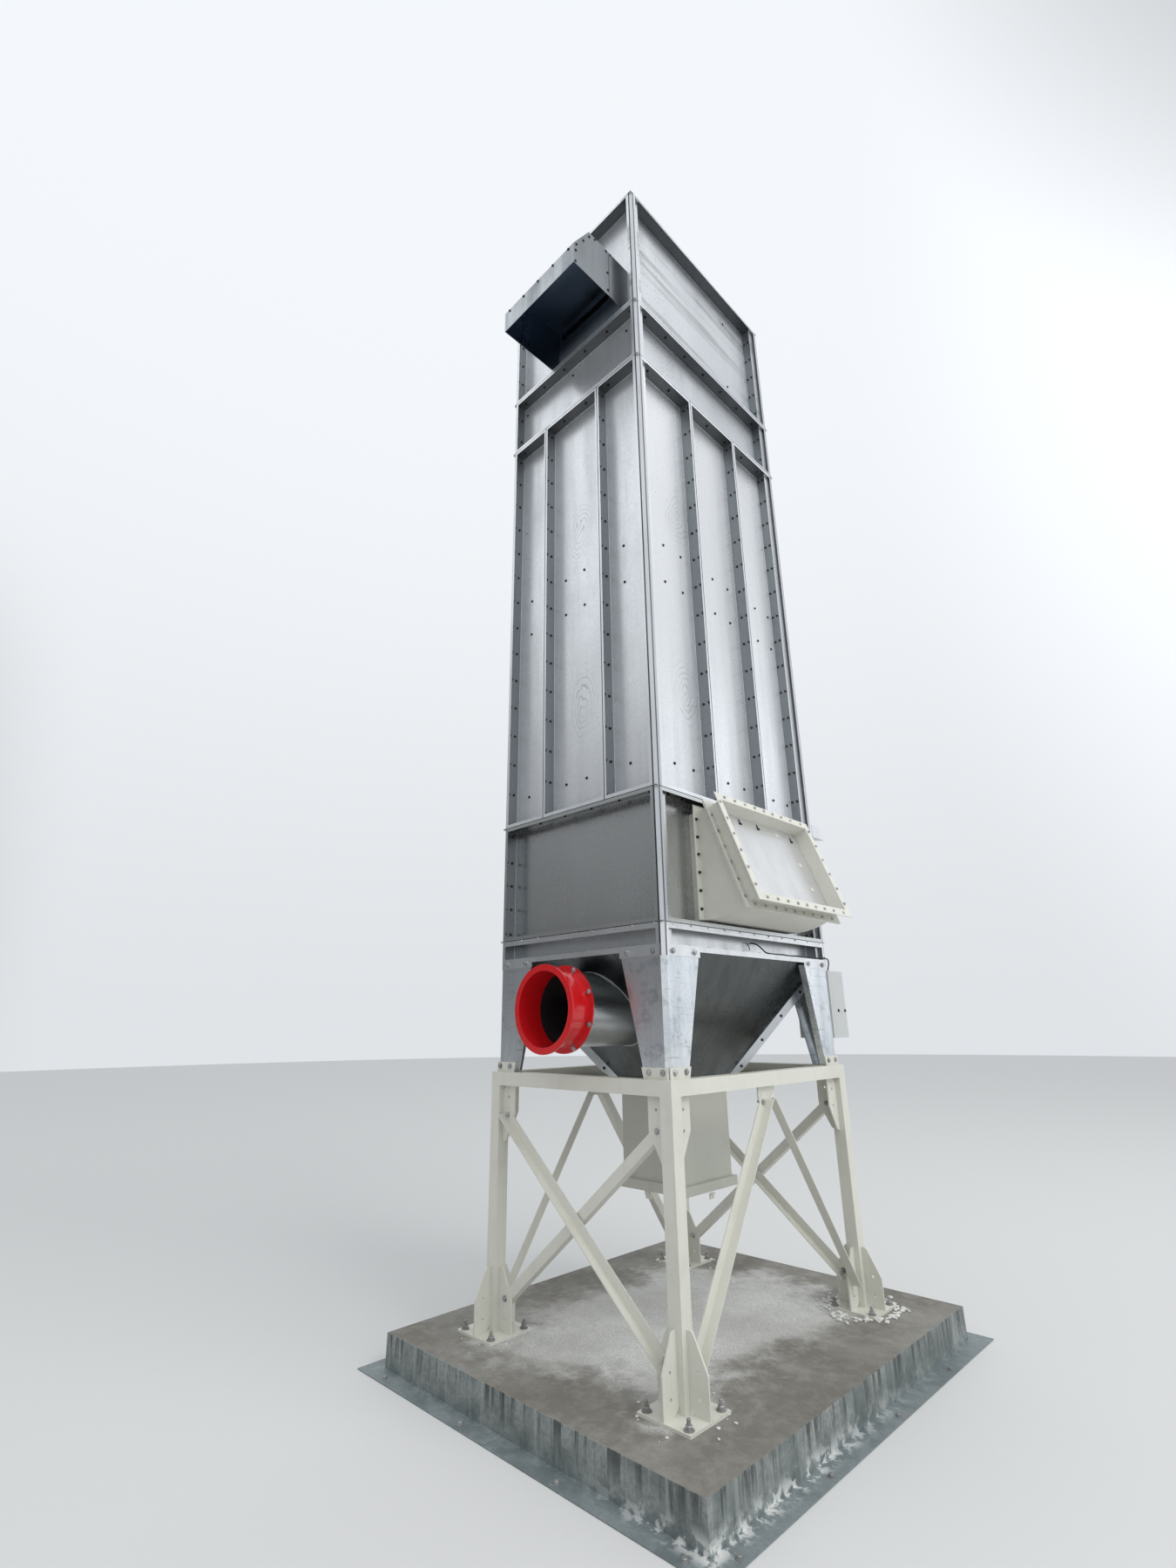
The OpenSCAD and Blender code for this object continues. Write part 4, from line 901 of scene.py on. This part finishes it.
def is_front(side):
    """Whether a wall is the front or the back one."""
    return side in (0, 2)


def steps(start, end, pitch):
    """Evenly spread values from start to end, about pitch apart."""
    count = max(1, round((end - start) / pitch))
    return [start + (end - start) * i / count for i in range(count + 1)]


def behind(places, grip):
    """Nuts for bolts: what they grip lies between, and they face the other way."""
    return [(point - facing * grip, -facing) for point, facing in places]


FILTER_ROWS = [2.859 + 0.2043 * i for i in range(15)]
LONG_ROWS = [2.175, 2.325, 2.470, 2.615, 2.788, 5.92, 6.12]
FRONT_ROWS = FILTER_ROWS + LONG_ROWS + [6.49, 6.68, 6.87, 7.06]
SIDE_ROWS = FILTER_ROWS + LONG_ROWS + [6.39, 6.583, 6.775, 6.968, 7.16]
print("depth of the recess:", round(RECESS, 4), "rows:", len(FRONT_ROWS), len(SIDE_ROWS))

# %% [markdown]
# ## Ribs, flanges and sheets
# Two trays meet in each rib, and bolts in pairs hold their upright walls together. Between the sections
# the level walls are bolted through the seal, heads above and nuts below. Screws in the flat of the
# sheets hold the stiffeners inside.

# %% Bolts along the ribs and the corner posts
RIB_DEPTHS = (0.015, 0.055)
FRONT_POST = (POST_FACE, FRONT_ROWS, RIB_DEPTHS)
SIDE_POST = (SIDE_FACE, SIDE_ROWS, (0.036, 0.072))


def bolts_through(side, along, rows, depths, facing):
    """Bolts through one upright wall of a tray, at each height one behind the other."""
    return [(on_wall(side, along, depth, height), facing) for height in rows for depth in depths]


def rib_places():
    """Bolts through both walls of each rib, and through the walls beside the corner posts."""
    places = []
    for side in range(4):
        end, rows, depths = FRONT_POST if is_front(side) else SIDE_POST
        for way in WAYS:
            facing = ACROSS[side] * way
            for rib in (-RIB[side], RIB[side]):
                places += bolts_through(side, rib + way * RIB_FACE, FILTER_ROWS, RIB_DEPTHS, facing)
            places += bolts_through(side, way * end, rows, depths, -facing)
    return places


set_fasteners("rib_bolts", SHEET_BOLT, BOLT_DARK, rib_places())

# %% Bolts through the level flanges between the sections
JOINS = [("collar", "plenum_front"), ("plenum_front", "filter_panels_front")]
JOINS += [("filter_panels_front", "band_front"), ("band_front", "chamber_front")]
FLANGE_DEPTH = 0.045
FLANGE_PITCH = 0.21


def flange_places():
    """Nuts under each upper tray wall and bolt heads on each lower one."""
    under, over = [], []
    for lower, upper in JOINS:
        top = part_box(lower)[1].z - SHEET
        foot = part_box(upper)[0].z + SHEET
        for side in range(4):
            end = (POST_FACE if is_front(side) else SIDE_FACE) - 0.06
            for along in steps(-end, end, FLANGE_PITCH):
                if abs(abs(along) - RIB[side]) < 0.03:
                    along += 0.05
                under.append((on_wall(side, along, FLANGE_DEPTH, top), -UP))
                over.append((on_wall(side, along, FLANGE_DEPTH, foot), UP))
    return under, over


under, over = flange_places()
set_fasteners("flange_nuts", SHEET_NUT, BOLT_DARK, under)
set_fasteners("flange_bolts", SHEET_BOLT, BOLT_DARK, over)

# %% Screws in the sheets
FRONT_COLUMNS = [-0.483, -0.310, -0.139, 0.034, 0.380, 0.553]
SIDE_COLUMNS = [-0.538, -0.364, -0.018, 0.155, 0.498, 0.671]
FRONT_HEIGHTS = [4.465, 4.204, 3.030]
SIDE_HEIGHTS = [4.481, 4.217, 3.034]
FRONT_SINGLES = [(0.469, 6.164), (-0.566, 6.174), (-0.058, 6.182)]
SIDE_SINGLES = [(-0.577, 6.44), (0.408, 6.472), (0.422, 7.152)]
FRONT_SCREWS = (FRONT_COLUMNS, FRONT_HEIGHTS, FRONT_SINGLES)
SIDE_SCREWS = (SIDE_COLUMNS, SIDE_HEIGHTS, SIDE_SINGLES)


def sheet_screw_places():
    """Six columns of three screws in each filter wall, and a few in the band and the chamber."""
    places = []
    for side in range(4):
        columns, heights, singles = FRONT_SCREWS if is_front(side) else SIDE_SCREWS
        spots = [(along, height) for along in columns for height in heights] + singles
        places += [(on_wall(side, along, RECESS, height), OUTWARD[side]) for along, height in spots]
    return places


set_fasteners("sheet_screws", TEK_SCREW, BOLT_DARK, sheet_screw_places())

# %% [markdown]
# ## Collar and frame
# The collar hangs on the four brackets by its tabs. Bright bolts hold it there, a row of bolt ends shows
# in the joint above, and more stand on its rail. The painted frame has its own larger bolts: in the
# cleats, at both ends of each brace, and as anchors that hold the base plates down.

# %% Collar: bolt ends in the joint, rail bolts, tab bolts
JOINT_HEIGHT = 2.1205
RAIL_TOP = 2.021
TAB_BOLT_HEIGHT = 1.989
FRONT_COLLAR = (0.575, 0.391, 0.560)
SIDE_COLLAR = (0.735, 0.572, 0.745)
JOINT_PITCH, RAIL_PITCH = 0.15, 0.17
JOINT_PROUD, RAIL_DEPTH = 0.0005, 0.030


def collar_places():
    """Bolt ends in the joint under the plenum, bolts on the rail and bolts through the corner tabs."""
    joint, rail, tabs = [], [], []
    for side in range(4):
        reach, inner, outer = FRONT_COLLAR if is_front(side) else SIDE_COLLAR
        for along in steps(-reach, reach, JOINT_PITCH):
            joint.append((on_wall(side, along, -JOINT_PROUD, JOINT_HEIGHT), OUTWARD[side]))
        for along in steps(-reach, reach, RAIL_PITCH):
            rail.append((on_wall(side, along, RAIL_DEPTH, RAIL_TOP), UP))
        for along in (-outer, -inner, inner, outer):
            tabs.append((on_wall(side, along, 0, TAB_BOLT_HEIGHT), OUTWARD[side]))
    return joint, rail, tabs


joint, rail, tabs = collar_places()
set_fasteners("joint_rivets", RIVET, BOLT_ZINC, joint)
set_fasteners("rail_bolts", SHEET_BOLT, BOLT_ZINC, rail)
set_fasteners("tab_bolts", BRACKET_BOLT, BOLT_ZINC, tabs)

# %% Frame: cleats, braces and anchors
CLEAT_HEIGHT = 1.435
FRONT_CLEAT = (0.817, (0.510, 0.594))
SIDE_CLEAT = (0.631, (0.690, 0.774))
BRACE_X, BRACE_Y, BRACE_FOOT, BRACE_HEAD = 0.531, 0.713, 0.317, 1.185
APEX_Y, APEX_HEIGHT = 0.048, 1.259
OUTER_BRACE, INNER_BRACE, SIDE_BRACE = 0.806, 0.801, 0.624
BRACE_GRIP = 0.013


def cleat_places():
    """Two bolts in each leaf of the cleats on the ring beam."""
    places = []
    for side in range(4):
        face, columns = FRONT_CLEAT if is_front(side) else SIDE_CLEAT
        for along in columns:
            for way in WAYS:
                place = ACROSS[side] * (way * along) + OUTWARD[side] * face + UP * CLEAT_HEIGHT
                places.append((place, OUTWARD[side]))
    return places


def brace_places():
    """Heads on the braces' outer side, at the fins and the apex plates."""
    heads = []
    for turn in (1, -1):
        across, out = Vector((turn, 0, 0)), Vector((0, -turn, 0))
        spots = [(-BRACE_X, BRACE_HEAD, OUTER_BRACE), (BRACE_X, BRACE_FOOT, OUTER_BRACE)]
        spots += [(-BRACE_X, BRACE_FOOT, INNER_BRACE), (BRACE_X, BRACE_HEAD, INNER_BRACE)]
        heads += [(across * x + out * face + UP * z, out) for x, z, face in spots]
        for y, z in ((BRACE_Y, BRACE_FOOT), (APEX_Y, APEX_HEIGHT)):
            heads += [(Vector((turn * SIDE_BRACE, way * y, z)), across) for way in WAYS]
    return heads


LEG_X, LEG_Y = 0.615, 0.797
ANCHOR_OUT, PLATE_TOP = 0.107, 0.167
anchors = [
    (Vector((leg_x * LEG_X + x * ANCHOR_OUT, leg_y * LEG_Y + y * ANCHOR_OUT, PLATE_TOP)), UP)
    for leg_x, leg_y in CORNER_WAYS
    for x, y in CORNER_WAYS
]
brace_heads = brace_places()
set_fasteners("cleat_bolts", FRAME_BOLT, BOLT_ZINC, cleat_places())
set_fasteners("brace_bolts", FRAME_BOLT, BOLT_ZINC, brace_heads)
set_fasteners("brace_nuts", FRAME_NUT, BOLT_ZINC, behind(brace_heads, BRACE_GRIP))
set_fasteners("anchors", ANCHOR, ANCHOR_STEEL, anchors)

# %% [markdown]
# ## Hopper and inlet
# The hopper's plates are bolted through the standing seams on its corners, and its flange sits on the
# chute's with nuts below. The inlet spool is clamped to its pipe by eight bolts round the joint.

# %% Hopper seams, outlet flange and inlet joint
SEAM_FOOT, SEAM_TOP = Vector((0.215, 0.215)), Vector((0.598, 0.784))
HOPPER_FOOT, HOPPER_HEIGHT = 1.335, 0.683
SEAM_ROWS = (1.409, 1.553, 1.689, 1.829)
SEAM_INSET, SEAM_HALF = 0.03, 0.003
OUTLET_HALF, OUTLET_UNDER = 0.229, 1.327
INLET_HEIGHT, INLET_RING = 1.730, 0.206
INLET_JOINT, INLET_GRIP = -0.888, 0.012


def seam_places():
    """Bolts through the standing seams up each corner of the hopper, heads to the front."""
    heads = []
    run = (SEAM_TOP - SEAM_FOOT).normalized()
    slope = (SEAM_TOP - SEAM_FOOT).length / HOPPER_HEIGHT
    for side_x, side_y in CORNER_WAYS:
        facing = Vector((side_x * run.y, -side_y * run.x, 0))
        if facing.y > 0:
            facing = -facing
        for height in SEAM_ROWS:
            spot = SEAM_FOOT + run * ((height - HOPPER_FOOT) * slope + SEAM_INSET)
            middle = Vector((side_x * spot.x, side_y * spot.y, height))
            heads.append((middle + facing * SEAM_HALF, facing))
    return heads


def inlet_places():
    """Eight bolts round the joint between the inlet pipe and the red spool."""
    heads = []
    for i in range(8):
        angle = math.radians(45 * (i + 0.5))
        x, z = INLET_RING * math.cos(angle), INLET_HEIGHT + INLET_RING * math.sin(angle)
        heads.append((Vector((x, INLET_JOINT, z)), OUTWARD[0]))
    return heads


outlet_nuts = []
for along in steps(-0.19, 0.19, 0.118):
    for x, y in ((along, -OUTLET_HALF), (along, OUTLET_HALF), (-OUTLET_HALF, along), (OUTLET_HALF, along)):
        outlet_nuts.append((Vector((x, y, OUTLET_UNDER)), -UP))
seam_heads = seam_places()
seam_nuts = behind(seam_heads, 2 * SEAM_HALF)
inlet_heads = inlet_places()
inlet_nuts = behind(inlet_heads, INLET_GRIP)
set_fasteners("seam_bolts", SHEET_BOLT, BOLT_DARK, seam_heads)
set_fasteners("seam_nuts", SHEET_NUT, BOLT_DARK, seam_nuts)
set_fasteners("outlet_nuts", SHEET_NUT, BOLT_ZINC, outlet_nuts)
set_fasteners("inlet_joint_bolts", FRAME_BOLT, BOLT_ZINC, inlet_heads)
set_fasteners("inlet_joint_nuts", DOME_NUT, BOLT_ZINC, inlet_nuts)

# %% [markdown]
# ## The explosion vent
# The vent leans outwards, so its bolts are placed on its own slope: out from its joint plane, along the
# wall, and down. Its outer flange, its joint and the flange on the wall each carry a ring of bolts, with
# nuts behind.

# %% Vent: bolts of the wall flange, the joint and the outer flange
TILT = math.radians(20.3)
VENT_TOP = Vector((0.664, 0.020, 2.805))
VENT_OUT = Vector((math.cos(TILT), 0, math.sin(TILT)))
VENT_DOWN = Vector((math.sin(TILT), 0, -math.cos(TILT)))
VENT_HALF, VENT_SLOPE, VENT_EDGE = 0.493, 0.648, 0.020
OUTER_ROW = [0.062, 0.167, 0.264, 0.364, 0.463, 0.563]
JOINT_ROW = [0.10, 0.20, 0.295, 0.39, 0.49, 0.59]
JOINT_OUT, JOINT_GRIP = 0.008, 0.013
OUTER_OUT, OUTER_GRIP = 0.087, 0.005
LEVEL_ROW = [-0.41, -0.31, -0.21, -0.11, -0.015, 0.08, 0.178, 0.283, 0.403]


def on_vent(out, along, down):
    """A point of the leaning vent: out from its joint plane, along Y from its middle, down its slope."""
    return VENT_TOP + VENT_OUT * out + Vector((0, along, 0)) + VENT_DOWN * down


def vent_ring(out, rows, facing):
    """Fasteners round a flange: down both its sides and along its upper and lower strips."""
    spots = [(side * (VENT_HALF - VENT_EDGE), down) for side in WAYS for down in rows]
    spots += [(along, down) for along in LEVEL_ROW for down in (VENT_EDGE, VENT_SLOPE - VENT_EDGE)]
    return [(on_vent(out, along, down), facing) for along, down in spots]


joint_ring = vent_ring(JOINT_OUT, JOINT_ROW, VENT_OUT)
outer_ring = vent_ring(OUTER_OUT, OUTER_ROW, VENT_OUT)
vent_nuts = behind(joint_ring, JOINT_GRIP) + behind(outer_ring, OUTER_GRIP)
wall_nuts = [
    (Vector((0.602, y, z)), OUTWARD[1])
    for y in (-0.453, 0.493)
    for z in (2.712, 2.612, 2.516, 2.417, 2.319, 2.222)
]
set_fasteners("vent_bolts", SHEET_BOLT, BOLT_ZINC, joint_ring + outer_ring)
set_fasteners("vent_nuts", SHEET_NUT, BOLT_ZINC, vent_nuts)
set_fasteners("vent_wall_nuts", SHEET_NUT, BOLT_DARK, wall_nuts)

# %% [markdown]
# ## Cowl, control box and edge form
# The cowl is screwed together along its folds, the box's lid has two screws, and the edge form is pinned
# to the ground through its foot.

# %% Screws of the cowl and the box, pins of the edge form
LAP = 0.0012
LAP_FRONT = -0.915
COWL_SPOTS = [(-1.225, 6.475), (-1.232, 6.415), (-1.235, 6.316), (-1.160, 6.575), (-1.105, 6.665)]
COWL_SPOTS += [(-1.050, 6.694), (-0.940, 6.694), (-0.900, 6.694), (-0.93, 6.50), (-0.93, 6.34)]
BOX_FACE, BOX_MIDDLE = 0.625, 1.718
FORM_BOLT_Z = 0.003
FORM_BOLTS_X, FORM_BOLTS_Y = (-0.904, -0.273, 0.349, 0.957), (-1.117, -0.497, 0.123, 0.743)
cowl_screws = []
for y, z in COWL_SPOTS:
    proud = LAP if y > LAP_FRONT else 0
    cowl_screws.append((Vector((cowl_high.x + proud, y, z)), OUTWARD[1]))
    cowl_screws.append((Vector((cowl_low.x - proud, y, z)), OUTWARD[3]))
for x in steps(cowl_low.x + 0.05, cowl_high.x - 0.05, 0.15):
    cowl_screws.append((Vector((x, cowl_low.y, 6.455)), OUTWARD[0]))
box_screws = [(Vector((BOX_FACE, y, BOX_MIDDLE)), OUTWARD[1]) for y in (0.90, 0.985)]
form_bolts = []
for x in FORM_BOLTS_X:
    form_bolts += [(Vector((x, way * 1.25, FORM_BOLT_Z)), UP) for way in WAYS]
for y in FORM_BOLTS_Y:
    form_bolts += [(Vector((way * 1.077, y, FORM_BOLT_Z)), UP) for way in WAYS]
set_fasteners("cowl_screws", TEK_SCREW, BOLT_DARK, cowl_screws)
set_fasteners("box_screws", TEK_SCREW, BOLT_DARK, box_screws)
set_fasteners("edge_form_bolts", FRAME_BOLT, ANCHOR_STEEL, form_bolts)

# %% [markdown]
# ## Small made pieces
# A few things are too small for the construction and aren't bolts: the lapped plates on the sides of the
# cowl and the plate inside its mouth, the weld bead round the inlet pipe, the clips of the bursting
# panel, the bent catches on the chute's rim, a strap on the cable, the angle on the back corner and the
# joint strips of the edge form. Plates are boxes and prisms. A bead is a tube along a line, turned as
# little as possible from ring to ring.

# %% Helpers for plates and beads
def finished_piece(name, build, finish):
    """Turns a bmesh into a piece of the scene with one finish."""
    bmesh.ops.recalc_face_normals(build, faces=build.faces)
    mesh = bpy.data.meshes.new(name)
    build.to_mesh(mesh)
    build.free()
    mesh.materials.append(finish)
    piece = bpy.data.objects.new(name, mesh)
    bpy.context.scene.collection.objects.link(piece)
    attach(piece, "root")
    print(name, len(mesh.polygons), "faces")


def block(build, corner, first, second, third):
    """A box with one corner and three edges."""
    corner, first, second, third = Vector(corner), Vector(first), Vector(second), Vector(third)
    points = [corner + a * first + b * second + c * third for a in (0, 1) for b in (0, 1) for c in (0, 1)]
    verts = [build.verts.new(point) for point in points]
    for face in ((0, 1, 3, 2), (4, 6, 7, 5), (0, 4, 5, 1), (2, 3, 7, 6), (0, 2, 6, 4), (1, 5, 7, 3)):
        build.faces.new([verts[i] for i in face])


def box_piece(name, finish, boxes):
    """A piece made of boxes."""
    build = bmesh.new()
    for box in boxes:
        block(build, *box)
    finished_piece(name, build, finish)


def prism(build, outline, thickness):
    """A plate: an outline of points and the vector of its thickness."""
    low = [build.verts.new(Vector(point)) for point in outline]
    high = [build.verts.new(Vector(point) + Vector(thickness)) for point in outline]
    build.faces.new(low)
    build.faces.new(list(reversed(high)))
    for i in range(len(outline)):
        j = (i + 1) % len(outline)
        build.faces.new((low[i], high[i], high[j], low[j]))


def bead(build, points, radius, sides=8, closed=False):
    """A round bead along a line of points."""
    points = [Vector(point) for point in points]
    count = len(points)
    angles = [2 * math.pi * k / sides for k in range(sides)]
    rings = []
    side = None
    for i, point in enumerate(points):
        before = points[i - 1] if closed or i else point
        after = points[(i + 1) % count] if closed or i < count - 1 else point
        along = (after - before).normalized()
        if side is None:
            side = along.orthogonal().normalized()
        side = (side - along * side.dot(along)).normalized()
        other = along.cross(side)
        ring = [point + radius * (math.cos(a) * side + math.sin(a) * other) for a in angles]
        rings.append([build.verts.new(place) for place in ring])
    if closed:
        first = rings[0][0].co - points[0]
        last = min(range(sides), key=lambda k: (rings[-1][k].co - points[-1] - first).length)
        rings[-1] = rings[-1][last:] + rings[-1][:last]
    pairs = list(zip(rings, rings[1:])) + ([(rings[-1], rings[0])] if closed else [])
    for low, high in pairs:
        for k in range(sides):
            m = (k + 1) % sides
            build.faces.new((low[k], low[m], high[m], high[k]))
    if not closed:
        build.faces.new(list(reversed(rings[0])))
        build.faces.new(rings[-1])


# %% Laps, seam seals and sill of the cowl
WALL_FRONT = -0.7285
LAP_FOOT, LAP_HEIGHT = cowl_low.z + 0.002, 0.408
SEAM = 0.0035
SILL_EDGE, SILL_SHEET, SILL_HEIGHT = 0.004, 0.0015, 0.300
laps, seals = [], []
for x, way in ((cowl_high.x, 1), (cowl_low.x, -1)):
    out, rise = (way * LAP, 0, 0), (0, 0, LAP_HEIGHT)
    laps.append(((x, LAP_FRONT, LAP_FOOT), out, (0, WALL_FRONT - LAP_FRONT, 0), rise))
    seals.append(((x, LAP_FRONT - SEAM, LAP_FOOT), out, (0, SEAM, 0), rise))
sill_corner = (cowl_low.x + SILL_EDGE, WALL_FRONT, cowl_low.z + SILL_EDGE)
sill_width = cowl_high.x - cowl_low.x - 2 * SILL_EDGE
sill = (sill_corner, (sill_width, 0, 0), (0, -SILL_SHEET, 0), (0, 0, SILL_HEIGHT))
box_piece("cowl_side_laps", COWL_ZINC, laps)
box_piece("cowl_seam_seals", SEAL, seals)
box_piece("outlet_sill", SILL_ZINC, [sill])

# %% Weld round the inlet pipe
WELD_RING, WELD_STEPS, WELD_RADIUS = 0.1925, 72, 0.0035
HOPPER_SLOPE = 0.833
weld = []
for i in range(WELD_STEPS):
    angle = 2 * math.pi * i / WELD_STEPS
    x, z = WELD_RING * math.cos(angle), INLET_HEIGHT + WELD_RING * math.sin(angle)
    weld.append((x, -(SEAM_FOOT.y + HOPPER_SLOPE * (z - HOPPER_FOOT)) - 0.001, z))
build = bmesh.new()
bead(build, weld, WELD_RADIUS, closed=True)
finished_piece("inlet_weld", build, PIPE_ZINC)

# %% Clips on the bursting panel
def clip(along, down, thickness, width, length):
    """A small plate on the bursting panel: its middle along the vent, its upper edge, its sizes."""
    corner = on_vent(0.003, along - width / 2, down)
    return corner, VENT_OUT * thickness, (0, width, 0), VENT_DOWN * length


dark_clips = []
for along, down in ((-0.187, 0.095), (-0.001, 0.093), (0.359, 0.114)):
    dark_clips.append(clip(along, down - 0.010, 0.004, 0.024, 0.012))
    dark_clips.append(clip(along, down - 0.034, 0.003, 0.006, 0.026))
pale_clips = []
for along, down in ((0.195, 0.096), (0.326, 0.279), (0.328, 0.445)):
    pale_clips.append(clip(along, down - 0.012, 0.003, 0.028, 0.022))
box_piece("vent_clips_dark", BOLT_DARK, dark_clips)
box_piece("vent_clips_pale", CREAM, pale_clips)

# %% Catches on the chute's rim
CATCH_WIDTH, CATCH_SHEET = 0.040, 0.003
CATCH_OUT, CATCH_SIDE, CATCH_FOOT = 0.237, -0.037, 0.756
CATCH_RISE, CATCH_LIP, LIP_HEIGHT = 0.030, 0.012, 0.024
catches = []
for turn in range(4):
    out, wide = OUTWARD[turn], ACROSS[turn] * CATCH_WIDTH
    base = out * CATCH_OUT + ACROSS[turn] * CATCH_SIDE + UP * CATCH_FOOT
    catches.append((base, out * CATCH_SHEET, wide, UP * CATCH_RISE))
    catches.append((base + out * CATCH_SHEET + UP * LIP_HEIGHT, out * CATCH_LIP, wide, UP * CATCH_SHEET))
box_piece("chute_catches", CREAM, catches)

# %% Strap on the cable, angle on the corner, joint strips of the edge form
STRAP = [(0.5425, 0.022, 2.0850), (0.5520, 0.027, 2.0800), (0.5600, 0.036, 2.0640), (0.5590, 0.048, 2.0430)]
ANGLE_X, ANGLE_LEAF = 0.625, [(0.8145, 2.830), (0.976, 2.830), (0.966, 2.912), (0.8145, 2.912)]
ANGLE_Z, ANGLE_FOOT = 2.827, [(0.560, 0.8145), (0.628, 0.8145), (0.628, 0.976), (0.560, 0.900)]
FORM_SHEET, FORM_RISE = 0.0015, 0.151
FORM_OUTER, FORM_INNER, FORM_REACH = 1.2825, 1.185, 0.0975
FORM_LAP_X, FORM_LAP_Z, FORM_LAP_WIDTH = -0.10, 0.003, (0.04, 0, 0)
STRAP_RADIUS = 0.0022
build = bmesh.new()
bead(build, STRAP, STRAP_RADIUS)
finished_piece("cable_strap", build, SEAL)
build = bmesh.new()
prism(build, [(ANGLE_X, y, z) for y, z in ANGLE_LEAF], (SHEET, 0, 0))
prism(build, [(x, y, ANGLE_Z) for x, y in ANGLE_FOOT], (0, 0, SHEET))
finished_piece("corner_angle", build, FLAP_ZINC)
form_laps = []
for way in WAYS:
    flat = (FORM_LAP_X, way * FORM_OUTER, FORM_LAP_Z)
    upright = (FORM_LAP_X, way * FORM_INNER, FORM_LAP_Z)
    form_laps.append((flat, FORM_LAP_WIDTH, (0, -way * FORM_REACH, 0), (0, 0, FORM_SHEET)))
    form_laps.append((upright, FORM_LAP_WIDTH, (0, way * FORM_SHEET, 0), (0, 0, FORM_RISE)))
box_piece("edge_form_laps", EDGE_ZINC, form_laps)

# %% [markdown]
# ## Crumbs of cement
# Grout was packed under the base plates, and crumbs of it lie round them, most of them at the back right
# leg. Each crumb is a flattened ball of twenty faces. A fixed seed keeps them in the same places on every
# run.

# %% Crumbs round the base plates
CEMENT = satin_paint("cement_crumb", (0.66, 0.66, 0.63), (0.45, 0.45, 0.42), 0.85, amount=0.4)
CRUMBS = ((LEG_X, LEG_Y, 150), (LEG_X, -LEG_Y, 18), (-LEG_X, -LEG_Y, 10), (-LEG_X, LEG_Y, 16))
chance = random.Random(11)
build = bmesh.new()
for leg_x, leg_y, count in CRUMBS:
    for _ in range(count):
        angle = chance.uniform(0, 2 * math.pi)
        far = 0.165 + abs(chance.gauss(0, 0.035))
        wide = chance.uniform(0.004, 0.012) * (1.5 if count > 100 else 1)
        lift = PLINTH_TOP + wide * 0.3
        place = Matrix.Translation((leg_x + far * math.cos(angle), leg_y + far * math.sin(angle), lift))
        turn = Matrix.Rotation(chance.uniform(0, math.pi), 4, "Z")
        shape = Matrix.Diagonal((wide, wide * chance.uniform(0.5, 1.0), wide * 0.45, 1))
        bmesh.ops.create_icosphere(build, subdivisions=1, radius=1, matrix=place @ turn @ shape)
finished_piece("cement_crumbs", build, CEMENT)
